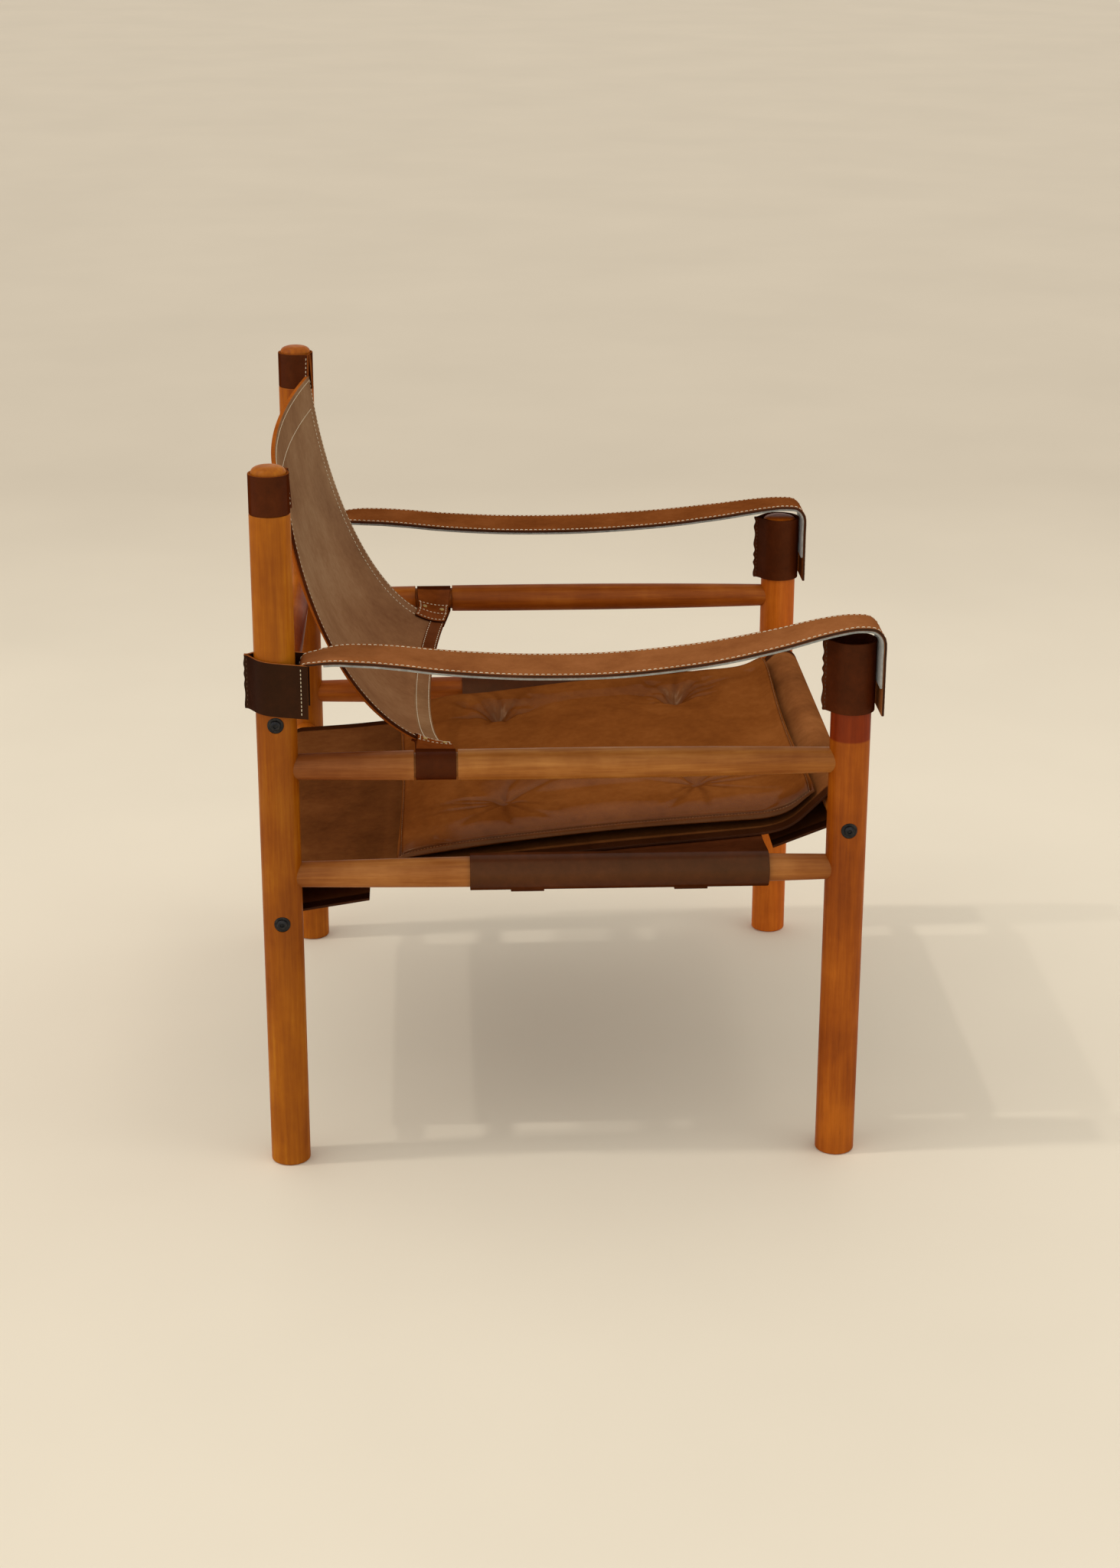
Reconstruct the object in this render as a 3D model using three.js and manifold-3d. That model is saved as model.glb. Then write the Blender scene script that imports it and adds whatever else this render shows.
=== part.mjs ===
// A knock-down campaign chair: four turned legs joined by seven turned rails, with the
// seat, back and arms hung on them as leather slings and straps. Millimetres, +Z up,
// the sitter faces -Y. The origin is on the floor, at the centre of the chair's outline.
import * as THREE from "three";
import { mergeVertices } from "three/addons/utils/BufferGeometryUtils.js";
import Module from "manifold-3d";

const wasm = await Module();
wasm.setup();

// Clearances that every piece shares.
const fitGap = 0.3;
const seatGap = 0.4;
const cutOverrun = 4;
const weldTolerance = 0.0005;

// Legs: plain cylinders with a domed top, and on the back pair a neck under the dome.
const legSpacingAcross = 640;
const legSpacingDeep = 608;
const legDiameter = 43;
const backLegHeight = 787;
const frontLegAboveRail = 105;
const domeHeight = 8;
const footChamfer = 2;
const neckDiameter = 36.6;
const neckLength = 50;
const legSides = 24;
const domeSteps = 4;

// Rails: cigar shapes, fullest in the middle, whose ends plug into the legs.
const railMiddleDiameter = 33.6;
const railEndDiameter = 27.6;
const railEndChamfer = 1.2;
const railTaperPower = 2.2;
const railStationsPerHalf = 4;
const railSides = 18;
const lowerSideRailHeight = 338.5;
const upperAboveLowerSideRail = 122.5;
const frontAboveSideRail = 48.5;
const backBelowSideRail = 49.5;
const backAboveSideRail = 53;
const sideSocketDepth = 26;
const crossSocketDepth = 11;

// The groove in each upper side rail, and the loop of the back sling that it keeps in place.
const grooveFromBackLeg = 167;
const strapLoopWidth = 42.6;
const strapLoopSideGap = 1.95;

// Bolts through the legs into threaded inserts in the ends of the cross rails.
const boltDiameter = 6;
const boltLength = 48;
const boltTipChamfer = 0.8;
const boltHeadDiameter = 11;
const boltHeadHeight = 3.3;
const boltHeadRim = 0.9;
const boltHeadCrownShares = [[0.86, 0.72], [0.55, 0.95]];
const hexSocketAcrossCorners = 4.6;
const hexSocketDepth = 2;
const boltSides = 10;
const washerDiameter = 17;
const washerThickness = 1.6;
const washerSides = 16;
const spotFaceDepth = 2.2;
const boltClearance = 0.4;
const insertDiameter = 10;
const insertLength = 20;
const insertInset = 0.6;
const insertSides = 12;

// Leather stock.
const slingThickness = 2.8;
const bandThickness = 2.8;
const linerThickness = 2.4;

// Bands: a strip of leather round a leg or rail, its two ends sewn into a seam that stands out.
const bandSeamLength = 6.8;
const bandSeamSpread = 0.62;
const bandCurveSteps = 12;
const armBandSlack = 0.8;
const armBandHeight = 58;
const armBandAboveRail = 11;
const sleeveSlack = 0.5;
const sleeveBelowLegTop = 2;
const sleeveAboveRail = 25;
const rightSleeveSlip = 32;

// Back sling: a hammock between the necks of the back legs and the grooves of the side rails.
// The bows of its edges are set out from the back leg's axis and top, or from the groove: inwards,
// then as shares of half the chair's depth and of the rise from the groove to the top.
const backCornerGap = 1.2;
const backCornerAngle = 0.74;
const backHeadDrop = 33.7;
const backSideUpperInset = 5.8;
const backSideUpperShares = [0.102, 0.59];
const backSideLowerInset = 85.9;
const backSideLowerShares = [0.342, 1.011];
const backFootCornerInset = 69.9;
const backFootCornerShares = [0.055, 0.013];
const backHeadInsetShare = 0.674;
const backHeadShares = [-0.058, 0.119];
const backFootInsetShare = 0.512;
const backFootShares = [-0.043, 0.128];
const backSlingAcross = 12;
const backSlingDown = 12;

// Tongues: the ends of each band, sewn in behind a corner of the back sling. The reaches are
// shares of the sling's width and height.
const headTongueReachShare = 0.024;
const headTongueShares = [0.25, 0.95];
const footTongueReachShare = 0.05;
const footTongueTopShare = 0.925;
const footTongueThickness = 5.6;
const tongueRows = 6;
const tongueEdgeShare = 0.6;

// Seat sling: round the front rail and the lower back rail, ends drawn together underneath.
// Its dip below the line between the rails' tops is a list of [share along, share of the dip].
const seatSlingInset = 58;
const seatDip = 37;
const seatDipShares = [
  [0.053, 0.53], [0.074, 0.79], [0.094, 0.93], [0.125, 1], [0.187, 0.95],
  [0.388, 0.7], [0.668, 0.4], [0.818, 0.25], [0.9, 0.16],
];
const seatLeaveAngle = 0.75;
const seatArriveAngle = 0.09;
const seatFrontFlapAngle = 0.37;
const seatFrontFlapLength = 84;
const seatBackFlapAngle = 0.155;
const seatBackFlapLength = 90;
const seatCurveSteps = 30;
const wrapSteps = 12;

// Side sling: round the two lower side rails, pressed down by the seat sling.
const sideSlingBehindDip = 8;
const sideSlingBackInset = 202;
const sideFlapAngle = 0.08;
const sideFlapLength = 75;
const sideLeaveShare = 1.07;
const sideShoulderSteps = 6;
const sideSlingRows = 4;
const slingContactGap = 0.8;

// Belts and buckles that draw the ends of each sling together.
const beltWidth = 36;
const beltThickness = 2.8;
const seatBeltSpacing = 240;
const seatBeltRootLength = 40;
const sideBeltFrontInset = 83.5;
const sideBeltBackInset = 61.5;
const beltTail = 42;
const beltCrossingGap = 0.9;
const beltCurveSteps = 16;
const chapeReach = 12;
const chapeLength = 26;
const chapeSides = 12;
const buckleWire = 4;
const buckleReach = 24;
const buckleCorner = 3.2;
const buckleSideGap = 0.8;
const buckleWireSides = 6;
const buckleCornerSteps = 3;
const prongDiameter = 3.2;
const prongRingWall = 2;
const prongRingWidth = 4;
const prongRingSides = 10;
const prongSides = 8;
const prongOverhang = 3;
const prongSlotWidth = 5.2;
const prongSlotFromTip = 5.5;
const prongSlotPastHeel = 0.6;

// Arms: a leather strap over a felt liner, from the band on each back leg over the front leg.
// The rise from the lowest point to the back and to the crest over the front leg are lists of
// [share along, share of the rise].
const armWidthMiddle = 78;
const armWidthEnd = 54;
const armTaperPower = 3;
const armLeatherThickness = 3;
const armOutset = 1;
const armBendRadius = 13;
const armRearFlap = 59;
const armCrestRadius = 19;
const armRearRise = { right: 3, left: -12 };
const armSag = { right: 16, left: 13.5 };
const armRearShares = [[0.86, 0.81], [0.786, 1], [0.69, 0.94], [0.56, 0.72], [0.44, 0.44], [0.286, 0.19], [0.102, 0.03]];
const armFrontShares = [[0.16, 0.03], [0.4, 0.18], [0.56, 0.34], [0.73, 0.59], [0.87, 0.85], [0.95, 0.96]];
const armRearBendShares = [[0, 2], [0, 1.2], [0.3, 0.5]];
const armFrontBendAngles = [0.35, 0.7, 1.05, 1.4];
const armCurveSteps = 50;
const linerStartStep = 5;
const linerEndStep = 48;

// Cushion: two leather faces sewn at a welted edge and drawn in by four buttons.
const cushionSideInset = 17;
const cushionFrontInset = 23;
const cushionBackInset = 121;
const cushionThickness = 50;
const cushionSeamFront = 1.5;
const cushionSeamCorner = 6;
const cushionSeamMiddle = 20;
const cushionDrawIn = 6;
const cushionCorner = 10;
const cushionCornerPower = 14;
const cushionLift = 0.8;
const tuftSpacingAcross = 282;
const tuftSpacingDeep = 214;
const tuftHeight = 21;
const tuftRadius = 34;
const cushionCells = 22;
const crownPower = 4;
const crownFullness = 0.6;
const undersidePower = 6;

// Finishes, one per material of the real chair.
const finishes = {
  beech: { color: 0xb06a2c, roughness: 0.42, metalness: 0 },
  saddleLeather: { color: 0x7d5236, roughness: 0.55, metalness: 0 },
  darkLeather: { color: 0x4a2c1e, roughness: 0.6, metalness: 0 },
  armLeather: { color: 0x8f5630, roughness: 0.5, metalness: 0 },
  cushionLeather: { color: 0x7a4826, roughness: 0.4, metalness: 0 },
  felt: { color: 0x8f9694, roughness: 0.95, metalness: 0 },
  blackSteel: { color: 0x16181a, roughness: 0.45, metalness: 0.8 },
  brass: { color: 0xa58a4e, roughness: 0.35, metalness: 0.9 },
};

const legRadius = legDiameter / 2;
const railRadius = railMiddleDiameter / 2;
const railEndRadius = railEndDiameter / 2;
const halfAcross = legSpacingAcross / 2;
const halfDeep = legSpacingDeep / 2;
const upperSideRailHeight = lowerSideRailHeight + upperAboveLowerSideRail;
const frontLegHeight = upperSideRailHeight + frontLegAboveRail;
const frontRailHeight = lowerSideRailHeight + frontAboveSideRail;
const backLowerRailHeight = lowerSideRailHeight - backBelowSideRail;
const backUpperRailHeight = upperSideRailHeight + backAboveSideRail;
const grooveCentre = halfDeep - grooveFromBackLeg;
const chair = new THREE.Group();

// A plain copy with only positions, welded, with no face that has no area.
function welded(geometry) {
  const plain = new THREE.BufferGeometry();
  plain.setAttribute("position", geometry.getAttribute("position").clone());
  if (geometry.index) plain.setIndex(geometry.index.clone());
  const merged = mergeVertices(plain, weldTolerance);
  const corners = merged.index.array;
  const kept = [];
  for (let i = 0; i < corners.length; i += 3) {
    const [a, b, c] = [corners[i], corners[i + 1], corners[i + 2]];
    if (a !== b && b !== c && c !== a) kept.push(a, b, c);
  }
  merged.setIndex(kept);
  return merged;
}

// A closed geometry as a solid that joins and cuts, its faces turned out.
function solidOf(geometry) {
  const mesh = welded(geometry);
  const vertProperties = Float32Array.from(mesh.attributes.position.array);
  const triVerts = Uint32Array.from(mesh.index.array);
  const make = () => new wasm.Manifold(new wasm.Mesh({ numProp: 3, vertProperties, triVerts }));
  const solid = make();
  if (solid.volume() > 0) return solid;
  for (let i = 0; i < triVerts.length; i += 3) {
    [triVerts[i + 1], triVerts[i + 2]] = [triVerts[i + 2], triVerts[i + 1]];
  }
  return make();
}

function geometryOf(solid) {
  const mesh = solid.getMesh();
  const geometry = new THREE.BufferGeometry();
  geometry.setAttribute("position", new THREE.Float32BufferAttribute(mesh.vertProperties, 3));
  geometry.setIndex(Array.from(mesh.triVerts));
  geometry.computeVertexNormals();
  return geometry;
}

function addPiece(name, solid, finish, place = new THREE.Vector3()) {
  const material = new THREE.MeshStandardMaterial(finishes[finish]);
  const mesh = new THREE.Mesh(geometryOf(solid), material);
  mesh.name = name;
  mesh.position.copy(place);
  chair.add(mesh);
  return mesh;
}

// A turned solid about +Z from an outline of [radius, height] pairs.
function turned(outline, sides) {
  const points = outline.map(([radius, height]) => new THREE.Vector2(radius, height));
  return new THREE.LatheGeometry(points, sides).rotateX(Math.PI / 2);
}

// A cylinder from one point to another, for holes and pins.
function rod(from, to, diameter, sides) {
  const along = new THREE.Vector3().subVectors(to, from);
  const geometry = new THREE.CylinderGeometry(diameter / 2, diameter / 2, along.length(), sides);
  geometry.translate(0, along.length() / 2, 0);
  const turn = new THREE.Quaternion().setFromUnitVectors(new THREE.Vector3(0, 1, 0), along.normalize());
  return geometry.applyQuaternion(turn).translate(from.x, from.y, from.z);
}

// A closed skin from two grids of points that share their rim, the upper and lower face of a sheet.
function closedSheet(upper, lower) {
  const rows = upper.length;
  const columns = upper[0].length;
  const points = [...upper.flat(), ...lower.flat()];
  const at = (side, i, j) => side * rows * columns + i * columns + j;
  const faces = [];
  const quad = (a, b, c, d) => faces.push(a, b, c, a, c, d);
  for (let i = 0; i + 1 < rows; i++) {
    for (let j = 0; j + 1 < columns; j++) {
      quad(at(0, i, j), at(0, i + 1, j), at(0, i + 1, j + 1), at(0, i, j + 1));
      quad(at(1, i, j), at(1, i, j + 1), at(1, i + 1, j + 1), at(1, i + 1, j));
    }
  }
  for (let i = 0; i + 1 < rows; i++) {
    quad(at(0, i + 1, 0), at(0, i, 0), at(1, i, 0), at(1, i + 1, 0));
    quad(at(0, i, columns - 1), at(0, i + 1, columns - 1), at(1, i + 1, columns - 1), at(1, i, columns - 1));
  }
  for (let j = 0; j + 1 < columns; j++) {
    quad(at(0, 0, j), at(0, 0, j + 1), at(1, 0, j + 1), at(1, 0, j));
    quad(at(0, rows - 1, j + 1), at(0, rows - 1, j), at(1, rows - 1, j), at(1, rows - 1, j + 1));
  }
  const geometry = new THREE.BufferGeometry();
  geometry.setAttribute("position", new THREE.Float32BufferAttribute(points.flatMap((p) => [p.x, p.y, p.z]), 3));
  geometry.setIndex(faces);
  return geometry;
}

// A sheet of even thickness: middle(u, v) gives its middle surface for u and v from 0 to 1.
function thickSheet(middle, rows, columns, above, below) {
  const step = 0.001;
  const upper = [];
  const lower = [];
  for (let i = 0; i <= rows; i++) {
    upper.push([]);
    lower.push([]);
    for (let j = 0; j <= columns; j++) {
      const u = i / rows;
      const v = j / columns;
      const point = middle(u, v);
      const alongU = middle(Math.min(u + step, 1), v).sub(middle(Math.max(u - step, 0), v));
      const alongV = middle(u, Math.min(v + step, 1)).sub(middle(u, Math.max(v - step, 0)));
      const normal = alongU.cross(alongV).normalize();
      upper[i].push(point.clone().addScaledVector(normal, above));
      lower[i].push(point.clone().addScaledVector(normal, -below));
    }
  }
  return closedSheet(upper, lower);
}

// Flat routes are lists of THREE.Vector2; these give their left-hand normals and offsets.
function routeNormals(route) {
  return route.map((_, i) => {
    const before = route[Math.max(i - 1, 0)];
    const after = route[Math.min(i + 1, route.length - 1)];
    const along = new THREE.Vector2().subVectors(after, before).normalize();
    return new THREE.Vector2(-along.y, along.x);
  });
}

function offsetRoute(route, distance) {
  const normals = routeNormals(route);
  return route.map((point, i) => point.clone().addScaledVector(normals[i], distance));
}

// A ribbon along a flat route, between two offsets from it. place(point, side) puts a route
// point into space at the side -1 or 1 of the ribbon's width.
function ribbon(route, from, to, place) {
  const rows = (distance) => offsetRoute(route, distance).map((p, i) => [place(p, -1, i), place(p, 1, i)]);
  return closedSheet(rows(to), rows(from));
}

function arcRoute(centre, radius, startAngle, endAngle, steps) {
  const route = [];
  for (let i = 0; i <= steps; i++) {
    const angle = THREE.MathUtils.lerp(startAngle, endAngle, i / steps);
    route.push(new THREE.Vector2(centre.x + radius * Math.sin(angle), centre.y + radius * Math.cos(angle)));
  }
  return route;
}

function splineRoute(points, steps) {
  const curve = new THREE.CatmullRomCurve3(points.map((p) => new THREE.Vector3(p.x, p.y, 0)), false, "centripetal");
  return curve.getPoints(steps).map((p) => new THREE.Vector2(p.x, p.y));
}

// A band round a leg or rail with its seam standing out along +X, as an outline with a bore.
function bandOutline(bore, wall, seam) {
  const outer = bore + wall;
  const shape = new THREE.Shape();
  shape.moveTo(outer + seam, -wall);
  shape.lineTo(outer + seam, wall);
  shape.lineTo(outer, wall);
  shape.absarc(0, 0, outer, bandSeamSpread, 2 * Math.PI - bandSeamSpread, false);
  shape.lineTo(outer, -wall);
  shape.closePath();
  const hole = new THREE.Path();
  hole.absarc(0, 0, bore, 0, 2 * Math.PI, true);
  shape.holes.push(hole);
  return shape;
}

function bandSolid(bore, wall, seam, height) {
  const options = { depth: height, bevelEnabled: false, curveSegments: bandCurveSteps };
  return new THREE.ExtrudeGeometry(bandOutline(bore, wall, seam), options);
}

// Legs
// The dome's outline is a quarter of an ellipse on the given radius.
function domeOutline(radius, top) {
  const outline = [];
  for (let i = 0; i <= domeSteps; i++) {
    const angle = (Math.PI / 2) * (i / domeSteps);
    outline.push([radius * Math.cos(angle), top - domeHeight + domeHeight * Math.sin(angle)]);
  }
  return outline;
}

function legOutline(height, necked) {
  const outline = [[0, 0], [legRadius - footChamfer, 0], [legRadius, footChamfer]];
  const topRadius = necked ? neckDiameter / 2 : legRadius;
  if (necked) outline.push([legRadius, height - neckLength], [topRadius, height - neckLength]);
  outline.push(...domeOutline(topRadius, height));
  return outline;
}

// A leg at the side (-1 or 1) and end (-1 front, 1 back) of the chair, with its sockets and bolt holes.
function legSolid(side, end, height, crossRailHeights) {
  let leg = solidOf(turned(legOutline(height, end > 0), legSides));
  const cut = (from, to, diameter, sides) => {
    leg = leg.subtract(solidOf(rod(from, to, diameter, sides)));
  };
  const socket = railEndDiameter + 2 * fitGap;
  for (const z of [upperSideRailHeight, lowerSideRailHeight]) {
    const floor = new THREE.Vector3(0, -end * (legRadius - sideSocketDepth), z);
    cut(floor, new THREE.Vector3(0, -end * (legRadius + cutOverrun), z), socket, railSides);
  }
  for (const z of crossRailHeights) {
    const floor = new THREE.Vector3(-side * (legRadius - crossSocketDepth), 0, z);
    const inside = new THREE.Vector3(-side * (legRadius + cutOverrun), 0, z);
    const seat = new THREE.Vector3(side * (legRadius - spotFaceDepth), 0, z);
    const outside = new THREE.Vector3(side * (legRadius + cutOverrun), 0, z);
    cut(floor, inside, socket, railSides);
    cut(seat, outside, washerDiameter + 2 * fitGap, washerSides);
    cut(inside, outside, boltDiameter + 2 * boltClearance, boltSides);
  }
  return leg;
}

const backRailHeights = [backUpperRailHeight, backLowerRailHeight];
const sides = [["right", -1], ["left", 1]];
for (const [label, side] of sides) {
  const backLeg = legSolid(side, 1, backLegHeight, backRailHeights);
  addPiece(`back_leg_${label}`, backLeg, "beech", new THREE.Vector3(side * halfAcross, halfDeep, 0));
  const frontLeg = legSolid(side, -1, frontLegHeight, [frontRailHeight]);
  addPiece(`front_leg_${label}`, frontLeg, "beech", new THREE.Vector3(side * halfAcross, -halfDeep, 0));
}

// Rails
// Radius of a rail at a distance from its middle: full in the middle, drawn in towards the legs.
function railRadiusAt(distance, halfSpan) {
  const share = Math.min(Math.abs(distance) / halfSpan, 1);
  return railRadius - (railRadius - railEndRadius) * share ** railTaperPower;
}

function railOutline(halfSpan, halfLength, groove) {
  const outline = [[0, -halfLength], [railEndRadius - railEndChamfer, -halfLength]];
  outline.push([railEndRadius, -halfLength + railEndChamfer]);
  for (let i = -railStationsPerHalf; i <= railStationsPerHalf; i++) {
    const distance = (halfSpan * i) / railStationsPerHalf;
    const inGroove = groove && distance > groove.start - railEndChamfer && distance < groove.end + railEndChamfer;
    if (!inGroove) outline.push([railRadiusAt(distance, halfSpan), distance]);
    if (groove && distance < groove.start && distance + halfSpan / railStationsPerHalf >= groove.start) {
      outline.push([railRadiusAt(groove.start, halfSpan), groove.start], [groove.radius, groove.start]);
      outline.push([groove.radius, groove.end], [railRadiusAt(groove.end, halfSpan), groove.end]);
    }
  }
  outline.push([railEndRadius, halfLength - railEndChamfer], [railEndRadius - railEndChamfer, halfLength]);
  outline.push([0, halfLength]);
  return outline.filter((point, i) => i === 0 || point[1] >= outline[i - 1][1]);
}

const halfSpanDeep = halfDeep - legRadius;
const halfSpanAcross = halfAcross - legRadius;
const sideRailHalfLength = halfSpanDeep + sideSocketDepth - fitGap;
const crossRailHalfLength = halfSpanAcross + crossSocketDepth - fitGap;
const groove = {
  start: grooveCentre - strapLoopWidth / 2 - strapLoopSideGap,
  end: grooveCentre + strapLoopWidth / 2 + strapLoopSideGap,
  radius: railRadiusAt(grooveCentre, halfSpanDeep) - bandThickness - fitGap,
};

function sideRail(withGroove) {
  const outline = railOutline(halfSpanDeep, sideRailHalfLength, withGroove ? groove : null);
  return solidOf(turned(outline, railSides).rotateX(-Math.PI / 2));
}

// A cross rail along X, bored at both ends for its inserts and the bolts in them.
const washerFace = legRadius - spotFaceDepth + fitGap;
const boltFace = washerFace + washerThickness + fitGap;
const insertEnd = crossRailHalfLength - insertInset - insertLength;
const railBoreFloor = Math.min(insertEnd, halfAcross + boltFace - boltLength) - fitGap;

function crossRail() {
  const outline = railOutline(halfSpanAcross, crossRailHalfLength, null);
  let rail = solidOf(turned(outline, railSides).rotateY(Math.PI / 2));
  for (const side of [-1, 1]) {
    const mouth = new THREE.Vector3(side * (crossRailHalfLength + cutOverrun), 0, 0);
    const floor = new THREE.Vector3(side * railBoreFloor, 0, 0);
    rail = rail.subtract(solidOf(rod(mouth, floor, insertDiameter + 2 * fitGap, insertSides)));
  }
  return rail;
}

for (const [label, side] of sides) {
  const upperPlace = new THREE.Vector3(side * halfAcross, 0, upperSideRailHeight);
  addPiece(`upper_side_rail_${label}`, sideRail(true), "beech", upperPlace);
  const lowerPlace = new THREE.Vector3(side * halfAcross, 0, lowerSideRailHeight);
  addPiece(`lower_side_rail_${label}`, sideRail(false), "beech", lowerPlace);
}
const crossRails = [
  ["back_upper", halfDeep, backUpperRailHeight],
  ["back_lower", halfDeep, backLowerRailHeight],
  ["front", -halfDeep, frontRailHeight],
];
for (const [label, y, z] of crossRails) {
  addPiece(`${label}_cross_rail`, crossRail(), "beech", new THREE.Vector3(0, y, z));
}

// Bolts, washers and inserts
// A button-head bolt along +Z, its head's underside at height 0.
function boltSolid() {
  const radius = boltDiameter / 2;
  const headRadius = boltHeadDiameter / 2;
  const outline = [[0, -boltLength], [radius - boltTipChamfer, -boltLength], [radius, boltTipChamfer - boltLength]];
  outline.push([radius, 0], [headRadius, 0], [headRadius, boltHeadRim]);
  for (const [across, up] of boltHeadCrownShares) outline.push([headRadius * across, boltHeadHeight * up]);
  outline.push([0, boltHeadHeight]);
  const socketFloor = new THREE.Vector3(0, 0, boltHeadHeight - hexSocketDepth);
  const socketMouth = new THREE.Vector3(0, 0, boltHeadHeight + cutOverrun);
  const socket = solidOf(rod(socketFloor, socketMouth, hexSocketAcrossCorners, 6));
  return solidOf(turned(outline, boltSides)).subtract(socket);
}

// A flat ring along +Z between two heights.
function ringSolid(outerDiameter, holeDiameter, bottom, top, ringSides) {
  const [outer, hole] = [outerDiameter / 2, holeDiameter / 2];
  const outline = [[hole, bottom], [outer, bottom], [outer, top], [hole, top], [hole, bottom]];
  return solidOf(turned(outline, ringSides));
}

const boltHole = boltDiameter + 2 * boltClearance;
for (const [railLabel, y, z] of crossRails) {
  for (const [label, side] of sides) {
    const place = new THREE.Vector3(side * halfAcross, y, z);
    const aside = (solid) => solid.rotate([0, side * 90, 0]);
    const insertTop = -(halfAcross - crossRailHalfLength + insertInset);
    const washer = ringSolid(washerDiameter, boltHole, washerFace, washerFace + washerThickness, washerSides);
    const insert = ringSolid(insertDiameter, boltHole, insertTop - insertLength, insertTop, insertSides);
    addPiece(`${railLabel}_bolt_${label}`, aside(boltSolid().translate([0, 0, boltFace])), "blackSteel", place);
    addPiece(`${railLabel}_washer_${label}`, aside(washer), "blackSteel", place);
    addPiece(`${railLabel}_insert_${label}`, aside(insert), "brass", place);
  }
}

// Back sling
const backRise = backLegHeight - upperSideRailHeight;
const postBandBore = neckDiameter / 2 + fitGap;

// A point set out from the back leg's axis and top.
function fromBackLeg(side, inset, [forward, down]) {
  const x = side * (halfAcross - inset);
  return new THREE.Vector3(x, halfDeep * (1 - forward), backLegHeight - backRise * down);
}

// A point set out from the middle of the groove in the upper side rail.
function fromGroove(side, inset, [forward, down]) {
  const x = side * (halfAcross - inset);
  return new THREE.Vector3(x, grooveCentre - halfDeep * forward, upperSideRailHeight - backRise * down);
}

// The head's corners lie close in front of the legs and of the bands on their necks.
function headCorner(side) {
  const reach = Math.max(legRadius, postBandBore + bandThickness) + backCornerGap;
  const x = side * (halfAcross - reach * Math.cos(backCornerAngle));
  return new THREE.Vector3(x, halfDeep - reach * Math.sin(backCornerAngle), backLegHeight - backHeadDrop);
}

function backSideCurve(side) {
  const upper = fromBackLeg(side, backSideUpperInset, backSideUpperShares);
  const lower = fromBackLeg(side, backSideLowerInset, backSideLowerShares);
  const footCorner = fromGroove(side, backFootCornerInset, backFootCornerShares);
  return new THREE.CubicBezierCurve3(headCorner(side), upper, lower, footCorner);
}

const rightCurve = backSideCurve(-1);
const leftCurve = backSideCurve(1);
const headBows = [-1, 1].map((side) => fromBackLeg(side, backHeadInsetShare * halfAcross, backHeadShares));
const footBows = [-1, 1].map((side) => fromGroove(side, backFootInsetShare * halfAcross, backFootShares));
const headCurve = new THREE.CubicBezierCurve3(rightCurve.v0, ...headBows, leftCurve.v0);
const footCurve = new THREE.CubicBezierCurve3(rightCurve.v3, ...footBows, leftCurve.v3);

// The surface spanned by the four edges: u runs across from right to left, v from head to foot.
function backSurface(u, v) {
  const point = headCurve.getPoint(u).multiplyScalar(1 - v).addScaledVector(footCurve.getPoint(u), v);
  point.addScaledVector(rightCurve.getPoint(v), 1 - u).addScaledVector(leftCurve.getPoint(v), u);
  point.addScaledVector(headCurve.v0, -(1 - u) * (1 - v)).addScaledVector(headCurve.v3, -u * (1 - v));
  return point.addScaledVector(footCurve.v0, -(1 - u) * v).addScaledVector(footCurve.v3, -u * v);
}

const halfSling = slingThickness / 2;
const backSling = thickSheet(backSurface, backSlingAcross, backSlingDown, halfSling, halfSling);
addPiece("back_sling", solidOf(backSling), "saddleLeather");

// A point behind the sling, at a share of its width in from one side edge.
function behindSling(side, inShare, v, distance) {
  const step = 0.002;
  const u = side > 0 ? 1 - inShare : inShare;
  const across = backSurface(u + step, v).sub(backSurface(u - step, v));
  const down = backSurface(u, v + step).sub(backSurface(u, v - step));
  return backSurface(u, v).addScaledVector(across.cross(down).normalize(), halfSling + fitGap + distance);
}

// The end of a band: from its root on the band, rootAt(w), to behind the sling's corner, between
// the shares vFrom and vTo of the sling's height as w runs from 0 to 1.
function cornerTongue(side, rootAt, vFrom, vTo, reachShare, thickness) {
  const middle = (s, w) => {
    const v = THREE.MathUtils.lerp(vFrom, vTo, w);
    if (s > tongueEdgeShare) {
      const reach = (reachShare * (s - tongueEdgeShare)) / (1 - tongueEdgeShare);
      return behindSling(side, reach, v, thickness / 2);
    }
    return rootAt(w).lerp(behindSling(side, 0, v, thickness / 2), s / tongueEdgeShare);
  };
  return solidOf(thickSheet(middle, tongueRows, 2, thickness / 2, thickness / 2));
}

// Bands on the necks of the back legs, with one ply sewn in behind the sling's head. The edge of
// the sling falls almost straight there, so a share of the neck's height gives a share of the edge.
const postBandBottom = backLegHeight - neckLength + fitGap;
const postBandHeight = neckLength - domeHeight;
const neckReach = (rightCurve.v0.z - postBandBottom) / (3 * (rightCurve.v0.z - rightCurve.v1.z));
const headTongueTop = headTongueShares[0] * neckReach;
const headTongueFoot = headTongueShares[1] * neckReach;
for (const [label, side] of sides) {
  const rootAt = (w) => {
    const v = THREE.MathUtils.lerp(headTongueTop, headTongueFoot, w);
    const aim = behindSling(side, 0, v, bandThickness / 2);
    const axis = new THREE.Vector3(side * halfAcross, halfDeep, aim.z);
    return axis.addScaledVector(aim.sub(axis).normalize(), postBandBore + bandThickness / 2);
  };
  const place = [side * halfAcross, halfDeep, postBandBottom];
  const band = ringSolid(2 * (postBandBore + bandThickness), 2 * postBandBore, 0, postBandHeight, 2 * bandCurveSteps);
  const tongue = cornerTongue(side, rootAt, headTongueTop, headTongueFoot, headTongueReachShare, bandThickness);
  addPiece(`back_sling_band_${label}`, band.translate(place).add(tongue), "darkLeather");
}

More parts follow.
